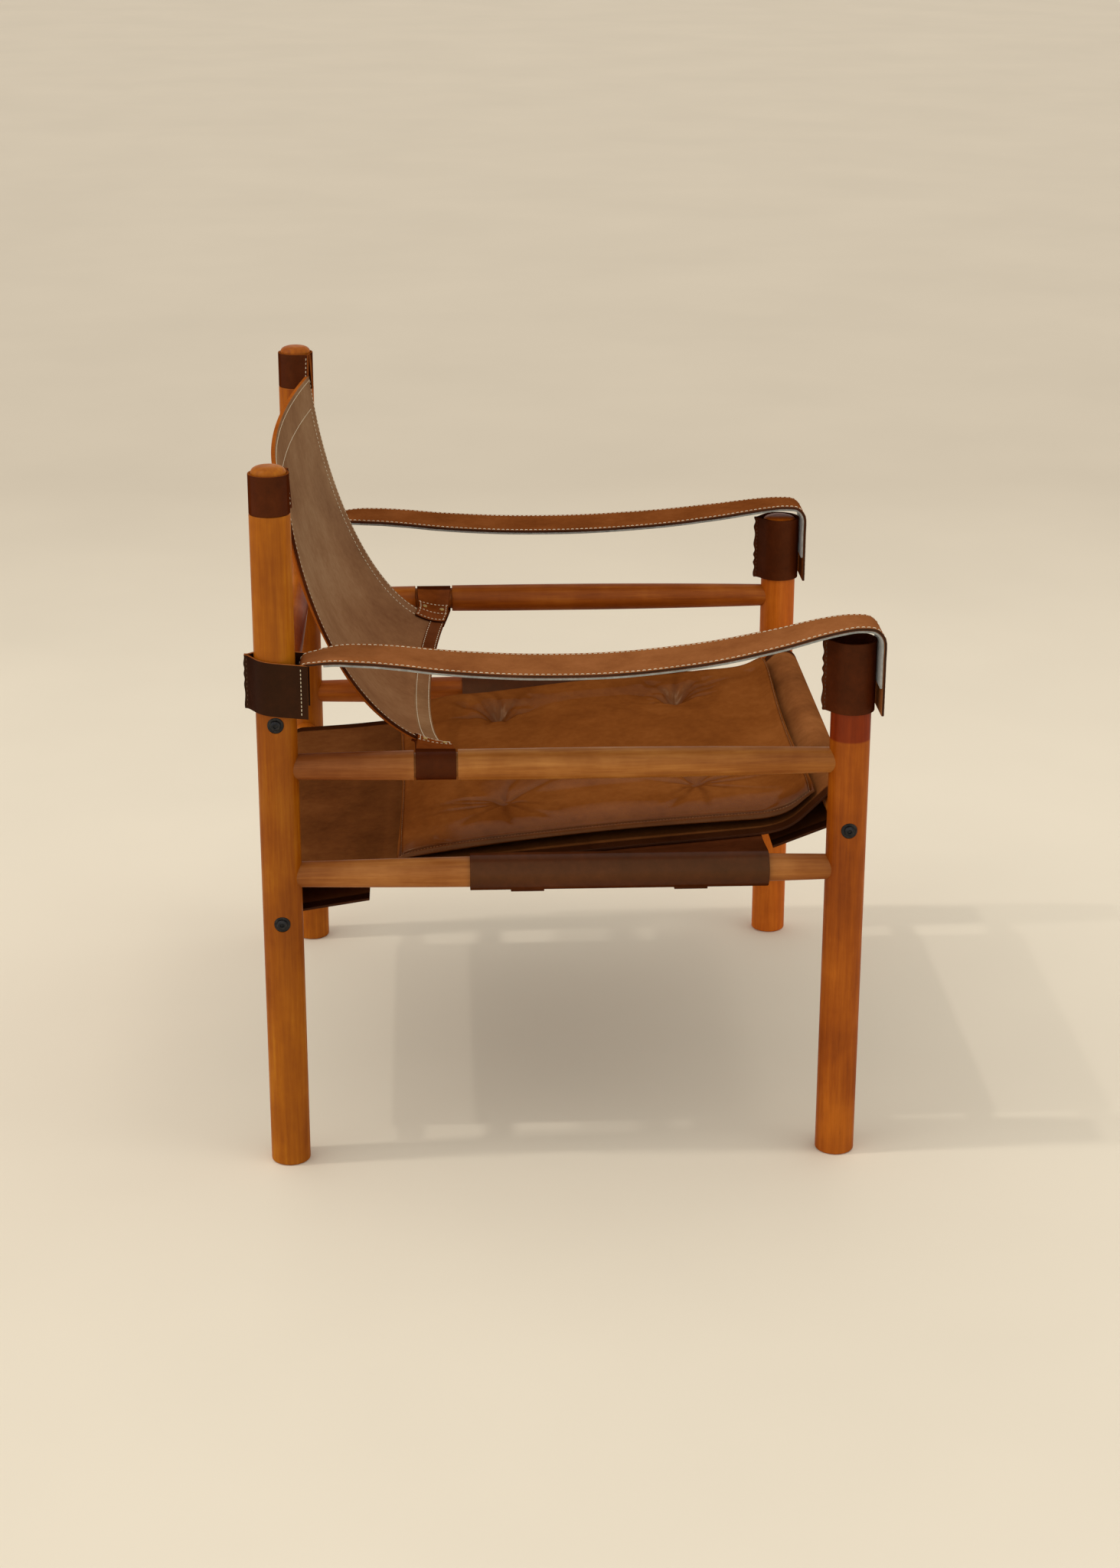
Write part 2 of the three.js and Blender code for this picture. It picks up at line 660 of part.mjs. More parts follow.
// Loops in the grooves of the upper side rails, with both plies sewn in behind the sling's foot.
const loopBore = groove.radius + fitGap;
for (const [label, side] of sides) {
  const rootX = side * (halfAcross - loopBore - bandThickness / 3);
  const rootAt = (w) => {
    const y = grooveCentre + strapLoopWidth * (w - 1 / 2);
    return new THREE.Vector3(rootX, y, upperSideRailHeight);
  };
  const ring = ringSolid(2 * (loopBore + bandThickness), 2 * loopBore, 0, strapLoopWidth, 2 * bandCurveSteps);
  const place = [side * halfAcross, grooveCentre + strapLoopWidth / 2, upperSideRailHeight];
  const tongue = cornerTongue(side, rootAt, 1, footTongueTopShare, footTongueReachShare, footTongueThickness);
  addPiece(`back_sling_loop_${label}`, ring.rotate([90, 0, 0]).translate(place).add(tongue), "darkLeather");
}

// Arm bands and sleeves. Each arm band is hollowed where it rests on the upper cross rail.
const armBandBore = legRadius + armBandSlack;
const sleeveBore = legRadius + sleeveSlack;
const armBandBottom = backUpperRailHeight + armBandAboveRail;
const sleeveTops = { left: frontLegHeight - sleeveBelowLegTop };
const sleeveHeight = sleeveTops.left - upperSideRailHeight - sleeveAboveRail;
sleeveTops.right = sleeveTops.left + rightSleeveSlip;
for (const [label, side] of sides) {
  const band = bandSolid(armBandBore, bandThickness, bandSeamLength, armBandHeight).rotateZ(Math.PI / 2);
  const bandPlace = new THREE.Vector3(side * halfAcross, halfDeep, armBandBottom);
  const railTop = backUpperRailHeight - armBandBottom;
  const railMouth = new THREE.Vector3(-side * armBandHeight, 0, railTop);
  const rest = rod(new THREE.Vector3(0, 0, railTop), railMouth, railEndDiameter + 2 * fitGap, railSides);
  addPiece(`arm_band_${label}`, solidOf(band).subtract(solidOf(rest)), "darkLeather", bandPlace);
  const sleeve = bandSolid(sleeveBore, bandThickness, bandSeamLength, sleeveHeight).rotateZ(Math.PI / 2);
  const sleevePlace = new THREE.Vector3(side * halfAcross, -halfDeep, sleeveTops[label] - sleeveHeight);
  addPiece(`arm_sleeve_${label}`, solidOf(sleeve), "darkLeather", sleevePlace);
}

// Arm straps and liners
// The outer face of the strap, as a route of depth and height from the back flap to the front one.
function armRoute(label) {
  const rearFace = halfDeep - armBandBore - bandThickness - fitGap;
  const plies = armLeatherThickness + linerThickness + 2 * fitGap;
  const frontFace = -halfDeep - sleeveBore - bandThickness - plies;
  const rear = armBandBottom + armBandHeight + armRearRise[label];
  const crest = sleeveTops[label] + armCrestRadius;
  const low = rear - armSag[label];
  const route = [new THREE.Vector2(rearFace, rear - armRearFlap)];
  const add = (y, z) => route.push(new THREE.Vector2(y, z));
  for (const [along, down] of armRearBendShares) add(rearFace - along * armBendRadius, rear - down * armBendRadius);
  for (const [along, up] of armRearShares) add(along * halfDeep, low + up * (rear - low));
  for (const [along, up] of armFrontShares) add(-along * halfDeep, low + up * (crest - low));
  add(-halfDeep, crest);
  for (const angle of armFrontBendAngles) {
    const [across, up] = [armCrestRadius * Math.sin(angle), armCrestRadius * Math.cos(angle)];
    add(frontFace + armCrestRadius - across, crest - armCrestRadius + up);
  }
  add(frontFace, sleeveTops[label] - sleeveHeight / 4);
  add(frontFace, sleeveTops[label] - sleeveHeight);
  return splineRoute(route, armCurveSteps);
}

function armWidthAt(y) {
  const share = Math.min(Math.abs(y) / halfDeep, 1);
  return armWidthMiddle - (armWidthMiddle - armWidthEnd) * share ** armTaperPower;
}

for (const [label, side] of sides) {
  const route = armRoute(label);
  const linerFrom = armLeatherThickness + fitGap;
  const x = side * (halfAcross + armOutset);
  const place = (p, edge) => new THREE.Vector3(x + (edge * armWidthAt(p.x)) / 2, p.x, p.y);
  const strap = ribbon(route, 0, armLeatherThickness, place);
  const linerRoute = offsetRoute(route, linerFrom).slice(linerStartStep, linerEndStep);
  const liner = ribbon(linerRoute, 0, linerThickness, place);
  addPiece(`arm_strap_${label}`, solidOf(strap), "armLeather");
  addPiece(`arm_liner_${label}`, solidOf(liner), "felt");
}

// Slings wrapped round rails
// Routes lie in the plane across two rails. They follow the face of the leather that touches
// the rails, with the outer face on their left.
const wrapRadius = railRadius + seatGap;

// The direction of travel of a route at an angle round a rail.
function travelAt(angle) {
  return new THREE.Vector2(Math.cos(angle), -Math.sin(angle));
}

// From the end of the first flap, round the first rail, over to the second, round it, to the end
// of the second flap. between gives the points from one rail to the other.
function wrapRoute(rails, flaps, leaveAngle, arriveAngle, between) {
  const firstAngle = flaps[0].angle - Math.PI;
  const secondAngle = Math.PI + flaps[1].angle;
  const firstArc = arcRoute(rails[0], wrapRadius, firstAngle, leaveAngle, wrapSteps);
  const secondArc = arcRoute(rails[1], wrapRadius, arriveAngle, secondAngle, wrapSteps);
  const start = firstArc[0].clone().addScaledVector(travelAt(firstAngle), -flaps[0].length);
  const end = secondArc.at(-1).clone().addScaledVector(travelAt(secondAngle), flaps[1].length);
  return [start, ...firstArc, ...between(firstArc.at(-1), secondArc[0]), ...secondArc, end];
}

// Belts and buckles
// Buckle parts are made lying down: +X from the tip bar to the heel bar, +Y away from the chair,
// +Z along the bars. The tip bar's middle is the origin.
const barRadius = buckleWire / 2;

function box(from, to) {
  const size = new THREE.Vector3().subVectors(to, from);
  const middle = new THREE.Vector3().addVectors(from, to).divideScalar(2);
  return solidOf(new THREE.BoxGeometry(size.x, size.y, size.z).translate(middle.x, middle.y, middle.z));
}

// The wire loop, swept round a rectangle with round corners.
function buckleSolid() {
  const halfWidth = beltWidth / 2 + buckleSideGap + barRadius;
  const centres = [
    [buckleReach - buckleCorner, halfWidth - buckleCorner],
    [buckleCorner, halfWidth - buckleCorner],
    [buckleCorner, buckleCorner - halfWidth],
    [buckleReach - buckleCorner, buckleCorner - halfWidth],
  ];
  const rings = [];
  centres.forEach(([x, z], corner) => {
    for (let i = 0; i <= buckleCornerSteps; i++) {
      const angle = (Math.PI / 2) * (corner + i / buckleCornerSteps);
      const out = new THREE.Vector3(Math.cos(angle), 0, Math.sin(angle));
      const centre = new THREE.Vector3(x, 0, z).addScaledVector(out, buckleCorner);
      const ring = [];
      for (let j = 0; j < buckleWireSides; j++) {
        const turn = (2 * Math.PI * j) / buckleWireSides;
        const up = new THREE.Vector3(0, barRadius * Math.sin(turn), 0);
        ring.push(centre.clone().addScaledVector(out, barRadius * Math.cos(turn)).add(up));
      }
      rings.push(ring);
    }
  });
  const faces = [];
  const at = (i, j) => (i % rings.length) * buckleWireSides + (j % buckleWireSides);
  for (let i = 0; i < rings.length; i++) {
    for (let j = 0; j < buckleWireSides; j++) {
      faces.push(at(i, j), at(i + 1, j), at(i + 1, j + 1), at(i, j), at(i + 1, j + 1), at(i, j + 1));
    }
  }
  const geometry = new THREE.BufferGeometry();
  const numbers = rings.flat().flatMap((p) => [p.x, p.y, p.z]);
  geometry.setAttribute("position", new THREE.Float32BufferAttribute(numbers, 3));
  geometry.setIndex(faces);
  return solidOf(geometry);
}

// The end of a sling's flap folded round the heel bar, with a slot for the prong.
function chapeSolid() {
  const bore = barRadius + fitGap;
  const half = beltWidth / 2;
  const fold = ringSolid(2 * (bore + slingThickness), 2 * bore, -half, half, chapeSides).translate([buckleReach, 0, 0]);
  const plyStart = buckleReach + bore + fitGap;
  const plies = box(
    new THREE.Vector3(plyStart, -slingThickness, -half),
    new THREE.Vector3(buckleReach + chapeLength, slingThickness, half),
  );
  const slotReach = bore + slingThickness + fitGap;
  const slot = box(
    new THREE.Vector3(buckleReach - slotReach, -slotReach, -prongSlotWidth / 2),
    new THREE.Vector3(buckleReach + slotReach, slotReach, prongSlotWidth / 2),
  );
  return fold.add(plies).subtract(slot);
}

// A prong: a ring round the heel bar and a pin that rests on the outer side of the tip bar.
function prongSolid() {
  const bore = barRadius + fitGap;
  const half = prongRingWidth / 2;
  const ring = ringSolid(2 * (bore + prongRingWall), 2 * bore, -half, half, prongRingSides);
  const height = barRadius + fitGap + prongDiameter / 2;
  const root = new THREE.Vector3(buckleReach - bore, height, 0);
  const tip = new THREE.Vector3(-prongOverhang, height, 0);
  return ring.translate([buckleReach, 0, 0]).add(solidOf(rod(root, tip, prongDiameter, prongSides)));
}

// Where a belt's middle passes the tip bar.
const beltEntry = { x: -2 * buckleWire, y: -(barRadius + fitGap + beltThickness / 2) };

// A belt from its sewn root, past the tip bar on the inner side, out through the buckle over the
// heel bar and on along the flap, with a slot for the prong.
function beltSolid(root) {
  const half = beltThickness / 2;
  const overFold = barRadius + 2 * fitGap + slingThickness + half;
  const overPlies = slingThickness + 2 * fitGap + half;
  const through = [
    [beltEntry.x, beltEntry.y],
    [barRadius / 2, beltEntry.y],
    [buckleReach - barRadius - half, overFold],
    [buckleReach + buckleWire, overFold],
    [buckleReach + chapeLength / 2, overPlies],
    [buckleReach + beltTail, overPlies],
  ];
  const curve = splineRoute(through.map(([x, y]) => new THREE.Vector2(x, y)), beltCurveSteps);
  const place = (p, edge) => new THREE.Vector3(p.x, p.y, (edge * beltWidth) / 2);
  const slot = box(
    new THREE.Vector3(prongSlotFromTip, -beltWidth, -prongSlotWidth / 2),
    new THREE.Vector3(buckleReach + prongSlotPastHeel, beltWidth, prongSlotWidth / 2),
  );
  return solidOf(ribbon([...root, ...curve], -half, half, place)).subtract(slot);
}

// Where the belt and buckle that join a sling's two flaps lie in the plane of its route. The
// frame's end runs on along the second flap, and its out points away from the chair.
function beltLayout(route, rootLength) {
  const start = new THREE.Vector2().subVectors(route[1], route[0]).normalize();
  const startOut = new THREE.Vector2(-start.y, start.x);
  const end = new THREE.Vector2().subVectors(route.at(-1), route.at(-2)).normalize();
  const out = new THREE.Vector2(-end.y, end.x);
  const under = slingThickness + fitGap + beltThickness / 2;
  const rootEnd = route[0].clone().addScaledVector(startOut, under);
  const tipBar = route.at(-1).clone().addScaledVector(out, slingThickness).addScaledVector(end, chapeReach + buckleReach);
  const entry = tipBar.clone().addScaledVector(end, -beltEntry.x).addScaledVector(out, beltEntry.y);
  return { tipBar, end, out, entry, root: [rootEnd.clone().addScaledVector(start, rootLength), rootEnd] };
}

// Adds the belt and buckle of one layout, with the belt led past the points of by. place(p, offset)
// puts a point of the plane into space. Gives back the chape, to be joined to the sling.
function addBelt(sling, label, layout, by, place) {
  const { tipBar, end, out } = layout;
  const flat = (p) => {
    const away = p.clone().sub(tipBar);
    return new THREE.Vector2(-away.dot(end), away.dot(out));
  };
  const centre = place(tipBar, 0);
  const along = place(tipBar.clone().sub(end), 0).sub(centre);
  const outward = place(tipBar.clone().add(out), 0).sub(centre);
  const bar = place(tipBar, 1).sub(centre);
  const frame = new THREE.Matrix4().makeBasis(along, outward, bar).setPosition(centre);
  const moved = (solid) => solidOf(geometryOf(solid).applyMatrix4(frame));
  const belt = beltSolid([...layout.root, ...by].map(flat));
  addPiece(`${sling}_belt_${label}`, moved(belt), "darkLeather");
  addPiece(`${sling}_buckle_${label}`, moved(buckleSolid()), "brass");
  addPiece(`${sling}_prong_${label}`, moved(prongSolid()), "brass");
  return moved(chapeSolid());
}

// Seat sling
const seatSlingWidth = legSpacingAcross - 2 * seatSlingInset;
const frontRail = new THREE.Vector2(-halfDeep, frontRailHeight);
const backRail = new THREE.Vector2(halfDeep, backLowerRailHeight);

function seatBetween(leave, arrive) {
  const points = seatDipShares.map(([along, dip]) => {
    const chord = frontRail.clone().lerp(backRail, along);
    return chord.setY(chord.y + wrapRadius - seatDip * dip);
  });
  return splineRoute([leave, ...points, arrive], seatCurveSteps).slice(1, -1);
}

const seatFlaps = [
  { angle: seatFrontFlapAngle, length: seatFrontFlapLength },
  { angle: seatBackFlapAngle, length: seatBackFlapLength },
];
const seatRoute = wrapRoute([frontRail, backRail], seatFlaps, seatLeaveAngle, seatArriveAngle, seatBetween);

// Heights of the seat sling's two faces at a depth, between the rails.
const seatTopStart = wrapSteps + 1;
const seatTopCount = seatCurveSteps + 2;
function faceHeight(route, y) {
  const top = route.slice(seatTopStart, seatTopStart + seatTopCount);
  const next = top.findIndex((p) => p.x > y);
  const [a, b] = [top[Math.max(next, 1) - 1], top[Math.max(next, 1)]];
  return THREE.MathUtils.mapLinear(y, a.x, b.x, a.y, b.y);
}
const seatUpperFace = offsetRoute(seatRoute, slingThickness);

// Side sling
const sideRailCentres = [-halfAcross, halfAcross].map((x) => new THREE.Vector2(x, lowerSideRailHeight));
const sideFlaps = [sideFlapAngle, -sideFlapAngle].map((angle) => ({ angle, length: sideFlapLength }));

// Its route at a depth y: over the rails, then down a shoulder to lie under the seat sling.
function sideRoute(y) {
  const level = faceHeight(seatRoute, y) - slingContactGap - slingThickness;
  const drop = lowerSideRailHeight + wrapRadius - level;
  const leaveAngle = (sideLeaveShare * drop) / seatSlingInset;
  const shoulder = (from, side) => {
    const foot = new THREE.Vector2((side * seatSlingWidth) / 2, level);
    const handle = Math.abs(foot.x - from.x) / 3;
    const slope = travelAt(leaveAngle);
    const fromHandle = new THREE.Vector2(from.x - side * handle * slope.x, from.y + handle * slope.y);
    const footHandle = new THREE.Vector2(foot.x + side * handle, level);
    return new THREE.CubicBezierCurve(from, fromHandle, footHandle, foot).getPoints(sideShoulderSteps);
  };
  const between = (leave, arrive) => [...shoulder(leave, -1).slice(1), ...shoulder(arrive, 1).slice(1).reverse()];
  return wrapRoute(sideRailCentres, sideFlaps, leaveAngle, -leaveAngle, between);
}

const seatDipLowest = seatDipShares.find(([, dip]) => dip === 1)[0];
const sideSlingFront = legSpacingDeep * seatDipLowest - halfDeep + sideSlingBehindDip;
const sideSlingBack = halfDeep - sideSlingBackInset;
const sideOuter = [];
const sideInner = [];
for (let i = 0; i <= sideSlingRows; i++) {
  const y = THREE.MathUtils.lerp(sideSlingFront, sideSlingBack, i / sideSlingRows);
  const intoSpace = (p) => new THREE.Vector3(p.x, y, p.y);
  const route = sideRoute(y);
  sideInner.push(route.map(intoSpace));
  sideOuter.push(offsetRoute(route, slingThickness).map(intoSpace));
}
let sideSling = solidOf(closedSheet(sideOuter, sideInner));
const sideBelts = [
  { label: "front", y: sideSlingFront + sideBeltFrontInset, over: 1 },
  { label: "back", y: sideSlingBack - sideBeltBackInset, over: -1 },
];
for (const belt of sideBelts) {
  const place = (p, offset) => new THREE.Vector3(p.x, belt.y + offset, p.y);
  belt.layout = beltLayout(sideRoute(belt.y), sideFlapLength);
  sideSling = sideSling.add(addBelt("side_sling", belt.label, belt.layout, [], place));
}
addPiece("side_sling", sideSling, "darkLeather");

// The seat sling's belts are woven through the side sling's: over the front one, under the back one.
const acrossSeat = (p, edge) => new THREE.Vector3((edge * seatSlingWidth) / 2, p.x, p.y);
let seatSling = solidOf(ribbon(seatRoute, 0, slingThickness, acrossSeat));
for (const [label, side] of sides) {
  const x = (side * seatBeltSpacing) / 2;
  const place = (p, offset) => new THREE.Vector3(x + offset, p.x, p.y);
  const by = sideBelts.flatMap(({ y, over, layout }) => {
    const [from, to] = [layout.root[1], layout.entry];
    const z = THREE.MathUtils.mapLinear(x, from.x, to.x, from.y, to.y);
    const clear = z + over * (beltThickness + beltCrossingGap);
    return [-1, 1].map((end) => new THREE.Vector2(y + (end * beltWidth) / 2, clear));
  });
  seatSling = seatSling.add(addBelt("seat_sling", label, beltLayout(seatRoute, seatBeltRootLength), by, place));
}
addPiece("seat_sling", seatSling, "saddleLeather");

// Cushion
const cushionWidth = seatSlingWidth - 2 * cushionSideInset;
const cushionDepth = legSpacingDeep - cushionFrontInset - cushionBackInset;
const cushionCentre = (cushionFrontInset - cushionBackInset) / 2;

// Points on its faces for p across and q deep, from -1 to 1. The faces meet in the seam.
function cushionPoint(p, q, onTop) {
  const halfWidth = cushionWidth / 2 - cushionDrawIn * (1 - q * q) - cushionCorner * Math.abs(q) ** cushionCornerPower;
  const halfDepth = cushionDepth / 2 - cushionDrawIn * (1 - p * p) - cushionCorner * Math.abs(p) ** cushionCornerPower;
  const x = p * halfWidth;
  const y = cushionCentre + q * halfDepth;
  let seam = cushionSeamCorner + (cushionSeamMiddle - cushionSeamCorner) * (1 - q * q);
  if (q < 0) seam -= (cushionSeamCorner - cushionSeamFront) * q ** 8;
  let height;
  if (onTop) {
    const crown = ((1 - Math.abs(p) ** crownPower) * (1 - Math.abs(q) ** crownPower)) ** crownFullness;
    height = seam + (cushionThickness - seam) * crown;
    const away = Math.hypot(Math.abs(x) - tuftSpacingAcross / 2, Math.abs(y - cushionCentre) - tuftSpacingDeep / 2);
    height = THREE.MathUtils.lerp(height, tuftHeight, Math.exp(-((away / tuftRadius) ** 2)));
  } else {
    const rim = 1 - (1 - Math.abs(p) ** undersidePower) * (1 - Math.abs(q) ** undersidePower);
    height = cushionLift + (seam - cushionLift) * rim;
  }
  return new THREE.Vector3(x, y, faceHeight(seatUpperFace, y) + height);
}

const cushionFaces = [true, false].map((onTop) => {
  const rows = [];
  for (let i = 0; i <= cushionCells; i++) {
    rows.push([]);
    for (let j = 0; j <= cushionCells; j++) {
      const edge = i === 0 || j === 0 || i === cushionCells || j === cushionCells;
      rows[i].push(cushionPoint((2 * i) / cushionCells - 1, (2 * j) / cushionCells - 1, onTop || edge));
    }
  }
  return rows;
});
addPiece("cushion", solidOf(closedSheet(...cushionFaces)), "cushionLeather");

// The origin goes to the middle of the chair's outline, on the floor.
const outline = new THREE.Box3().setFromObject(chair, true);
const middle = outline.getCenter(new THREE.Vector3());
for (const piece of chair.children) piece.position.sub(new THREE.Vector3(middle.x, middle.y, outline.min.z));

export default chair;
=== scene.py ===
"""A knock-down campaign chair: a turned wooden frame with leather slings, arms and cushion.

Lengths are in millimetres and become metres in add_piece. Places and sizes inside a material are
in metres. +Z is up and the sitter faces -Y.
"""

import math

import bpy
import numpy as np
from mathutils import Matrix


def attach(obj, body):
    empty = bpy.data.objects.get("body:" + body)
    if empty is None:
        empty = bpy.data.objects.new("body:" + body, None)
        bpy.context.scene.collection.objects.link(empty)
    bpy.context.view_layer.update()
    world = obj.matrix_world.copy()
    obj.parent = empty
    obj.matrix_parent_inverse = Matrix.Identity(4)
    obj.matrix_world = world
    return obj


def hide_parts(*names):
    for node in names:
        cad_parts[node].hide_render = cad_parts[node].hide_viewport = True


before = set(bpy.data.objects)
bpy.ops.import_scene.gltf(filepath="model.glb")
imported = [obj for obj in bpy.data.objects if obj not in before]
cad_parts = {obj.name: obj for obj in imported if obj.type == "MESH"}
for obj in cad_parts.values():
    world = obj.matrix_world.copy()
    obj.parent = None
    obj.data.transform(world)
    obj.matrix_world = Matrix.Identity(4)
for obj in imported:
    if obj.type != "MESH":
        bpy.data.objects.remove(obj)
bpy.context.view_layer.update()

# Camera
# A long lens a little above the arms, on the sitter's right, looking across the chair and down.
camera_place = (-3.101, 0.136, 1.442)
camera_yaw = math.radians(-2.65)
camera_pitch = math.radians(19.84)
camera_roll = math.radians(-0.12)
camera_data = bpy.data.cameras.new("camera")
camera_data.lens = 63.73
camera_data.sensor_width = 36.0
camera_data.sensor_fit = "AUTO"
camera_data.clip_end = 200.0
camera = bpy.data.objects.new("camera", camera_data)
bpy.context.scene.collection.objects.link(camera)
camera.rotation_mode = "XYZ"
camera.location = camera_place
camera.rotation_euler = (math.pi / 2 - camera_pitch, camera_roll, camera_yaw - math.pi / 2)
bpy.context.scene.camera = camera
bpy.context.scene.view_settings.view_transform = "Standard"


# Studio
# A pale floor under a sky that is a little brighter low down, and three small lamps high above
# the chair, two behind it and a softer one in front, so the chair's shadows overlap below the
# seat. A broad low one behind models the leather.
def srgb(red, green, blue):
    """Linear colour of a display colour from 0 to 255: ((c + 0.055) / 1.055) to the power 2.4."""
    share = np.array([red, green, blue]) / 255.0
    return (*(((share + 0.055) / 1.055) ** 2.4), 1.0)


def new_material(name):
    """A node material with its tree and its one shader."""
    material = bpy.data.materials.new(name)
    material.use_nodes = True
    tree = material.node_tree
    return material, tree, tree.nodes["Principled BSDF"]


def add_node(tree, kind, inputs=None, **settings):
    """A shader node. Each input is set to a value, or linked where the value is a socket."""
    node = tree.nodes.new("ShaderNode" + kind)
    for key, value in settings.items():
        setattr(node, key, value)
    for key, value in (inputs or {}).items():
        if isinstance(value, bpy.types.NodeSocket):
            tree.links.new(value, node.inputs[key])
        else:
            node.inputs[key].default_value = value
    return node


def blend_colours(tree, factor, first, second, kind="MIX"):
    """The colour socket of a mix of two colours."""
    node = add_node(tree, "Mix", {0: factor, 6: first, 7: second}, data_type="RGBA", blend_type=kind)
    return node.outputs[2]


def remap(tree, value, low, high, to_low=0.0, to_high=1.0):
    """A socket with the value taken from one range to another, held at its ends."""
    limits = {"Value": value, "From Min": low, "From Max": high, "To Min": to_low, "To Max": to_high}
    return add_node(tree, "MapRange", limits).outputs["Result"]


def noise(tree, vector, scale, detail=4.0, roughness=0.55):
    """The grey socket of a noise."""
    values = {"Vector": vector, "Scale": scale, "Detail": detail, "Roughness": roughness}
    return add_node(tree, "TexNoise", values).outputs["Fac"]


def add_piece(name, points, quads, tris=(), materials=(), face_materials=None, body="chair"):
    """A smooth mesh from points in millimetres. Its faces are turned round where its volume, the
    sum of the triple products of its faces' corners over six, comes out negative."""
    points = np.asarray(points, float).reshape(-1, 3) * 0.001
    quads = np.asarray(quads, int).reshape(-1, 4)
    tris = np.asarray(tris, int).reshape(-1, 3)
    corners = np.concatenate([quads[:, [0, 1, 2]], quads[:, [0, 2, 3]], tris])
    a, b, c = (points[corners[:, k]] for k in range(3))
    if np.einsum("ij,ij->", a, np.cross(b, c)) < 0:
        quads, tris = quads[:, ::-1], tris[:, ::-1]
    mesh = bpy.data.meshes.new(name)
    mesh.from_pydata(points.tolist(), [], quads.tolist() + tris.tolist())
    for material in materials:
        mesh.materials.append(material)
    if face_materials is not None:
        mesh.polygons.foreach_set("material_index", np.asarray(face_materials, np.int32))
    mesh.shade_smooth()
    piece = bpy.data.objects.new(name, mesh)
    bpy.context.scene.collection.objects.link(piece)
    if body:
        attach(piece, body)
    return piece


floor_size = 40000.0
floor_below_feet = 0.2
# Painted shade: the floor darkens away from the camera towards a far colour, as a backdrop that gets less
# light would.
floor_fade_from, floor_fade_to = 0.6, 2.8
floor_colour = srgb(236, 224, 202)
floor_far_shaded_colour = srgb(208, 195, 174)
floor_material, floor_tree, floor_shader = new_material("paper_floor")
floor_place = add_node(floor_tree, "TexCoord").outputs["Object"]
floor_axes = add_node(floor_tree, "SeparateXYZ", {"Vector": floor_place})
floor_shade_share = remap(floor_tree, floor_axes.outputs["X"], floor_fade_from, floor_fade_to)
floor_mottle = noise(floor_tree, floor_place, 1.6, 3.0)
floor_base = blend_colours(floor_tree, floor_shade_share, floor_colour, floor_far_shaded_colour)
floor_mottle = remap(floor_tree, floor_mottle, 0.3, 0.7, 0.975, 1.02)
floor_greys = {channel: floor_mottle for channel in ("Red", "Green", "Blue")}
floor_grey = add_node(floor_tree, "CombineColor", floor_greys).outputs["Color"]
floor_mottled = blend_colours(floor_tree, 1.0, floor_base, floor_grey, "MULTIPLY")
floor_tree.links.new(floor_mottled, floor_shader.inputs["Base Color"])
floor_shader.inputs["Roughness"].default_value = 0.85
floor_shader.inputs["Specular IOR Level"].default_value = 0.1
floor_shares = np.array([[-1, -1, 0], [1, -1, 0], [1, 1, 0], [-1, 1, 0]]) * 0.5
floor_points = floor_shares * floor_size - [0, 0, floor_below_feet]
floor = add_piece("floor", floor_points, [[0, 1, 2, 3]], materials=[floor_material], body=None)

world = bpy.data.worlds.new("sky")
world.use_nodes = True
bpy.context.scene.world = world
sky_tree = world.node_tree
sky_low, sky_high = (0.95, 0.935, 0.905, 1.0), (0.73, 0.72, 0.7, 1.0)
sky_place = add_node(sky_tree, "TexCoord").outputs["Generated"]
sky_height = add_node(sky_tree, "SeparateXYZ", {"Vector": sky_place}).outputs["Z"]
sky_colour = blend_colours(sky_tree, remap(sky_tree, sky_height, 0.0, 1.0), sky_low, sky_high)
sky_tree.links.new(sky_colour, sky_tree.nodes["Background"].inputs["Color"])
sun_colour = (1.0, 0.97, 0.93)
suns = [
    ("sun_far_back", (-0.05, 0.8, 1.0), 0.22, 1.6),
    ("sun_back", (-0.05, 0.46, 1.0), 0.24, 1.6),
    ("sun_front", (-0.12, -0.25, 1.0), 0.12, 9.0),
    ("sun_low_back", (-0.35, 1.0, 0.6), 0.36, 50.0),
]
for name, towards, strength, spread in suns:
    data = bpy.data.lights.new(name, "SUN")
    data.energy = strength
    data.angle = math.radians(spread)
    data.color = sun_colour
    lamp = bpy.data.objects.new(name, data)
    x, y, z = towards
    lamp.rotation_euler = (0.0, math.atan2(math.hypot(x, y), z), math.atan2(y, x))
    bpy.context.scene.collection.objects.link(lamp)


# Legs
# Four turned posts of varnished wood, domed on top. The back pair have a neck under the dome for
# the back sling's bands. Each has flat-bottomed recesses for its bolts' washers.
def calculate(tree, operation, *values):
    """The socket of a sum in a material. Each value is a number or a socket."""
    return add_node(tree, "Math", dict(enumerate(values)), operation=operation).outputs[0]


def shine(tree, shader, level, low_share, coat=0.0):
    """Warm gloss that fades to a share of its level where the surface is seen at a low angle."""
    full_until, faded_from = 0.05, 0.55
    facing = add_node(tree, "LayerWeight", {"Blend": 0.5}).outputs["Facing"]
    for name, value in (("Specular IOR Level", level), ("Coat Weight", coat)):
        faded = remap(tree, facing, full_until, faded_from, value, value * low_share)
        tree.links.new(faded, shader.inputs[name])
    shader.inputs["Specular Tint"].default_value = (1.0, 0.74, 0.42, 1.0)


def multiplied(tree, factor, plain, colour):
    """The socket of a colour multiplied by another, as far as a factor says."""
    return blend_colours(tree, factor, plain, blend_colours(tree, 1.0, plain, colour, "MULTIPLY"))


def overlay(material, factor, colour):
    """Multiplies a material's base colour by another, as far as a factor says."""
    tree = material.node_tree
    base = tree.nodes["Principled BSDF"].inputs["Base Color"]
    tree.links.new(multiplied(tree, factor, base.links[0].from_socket, colour), base)


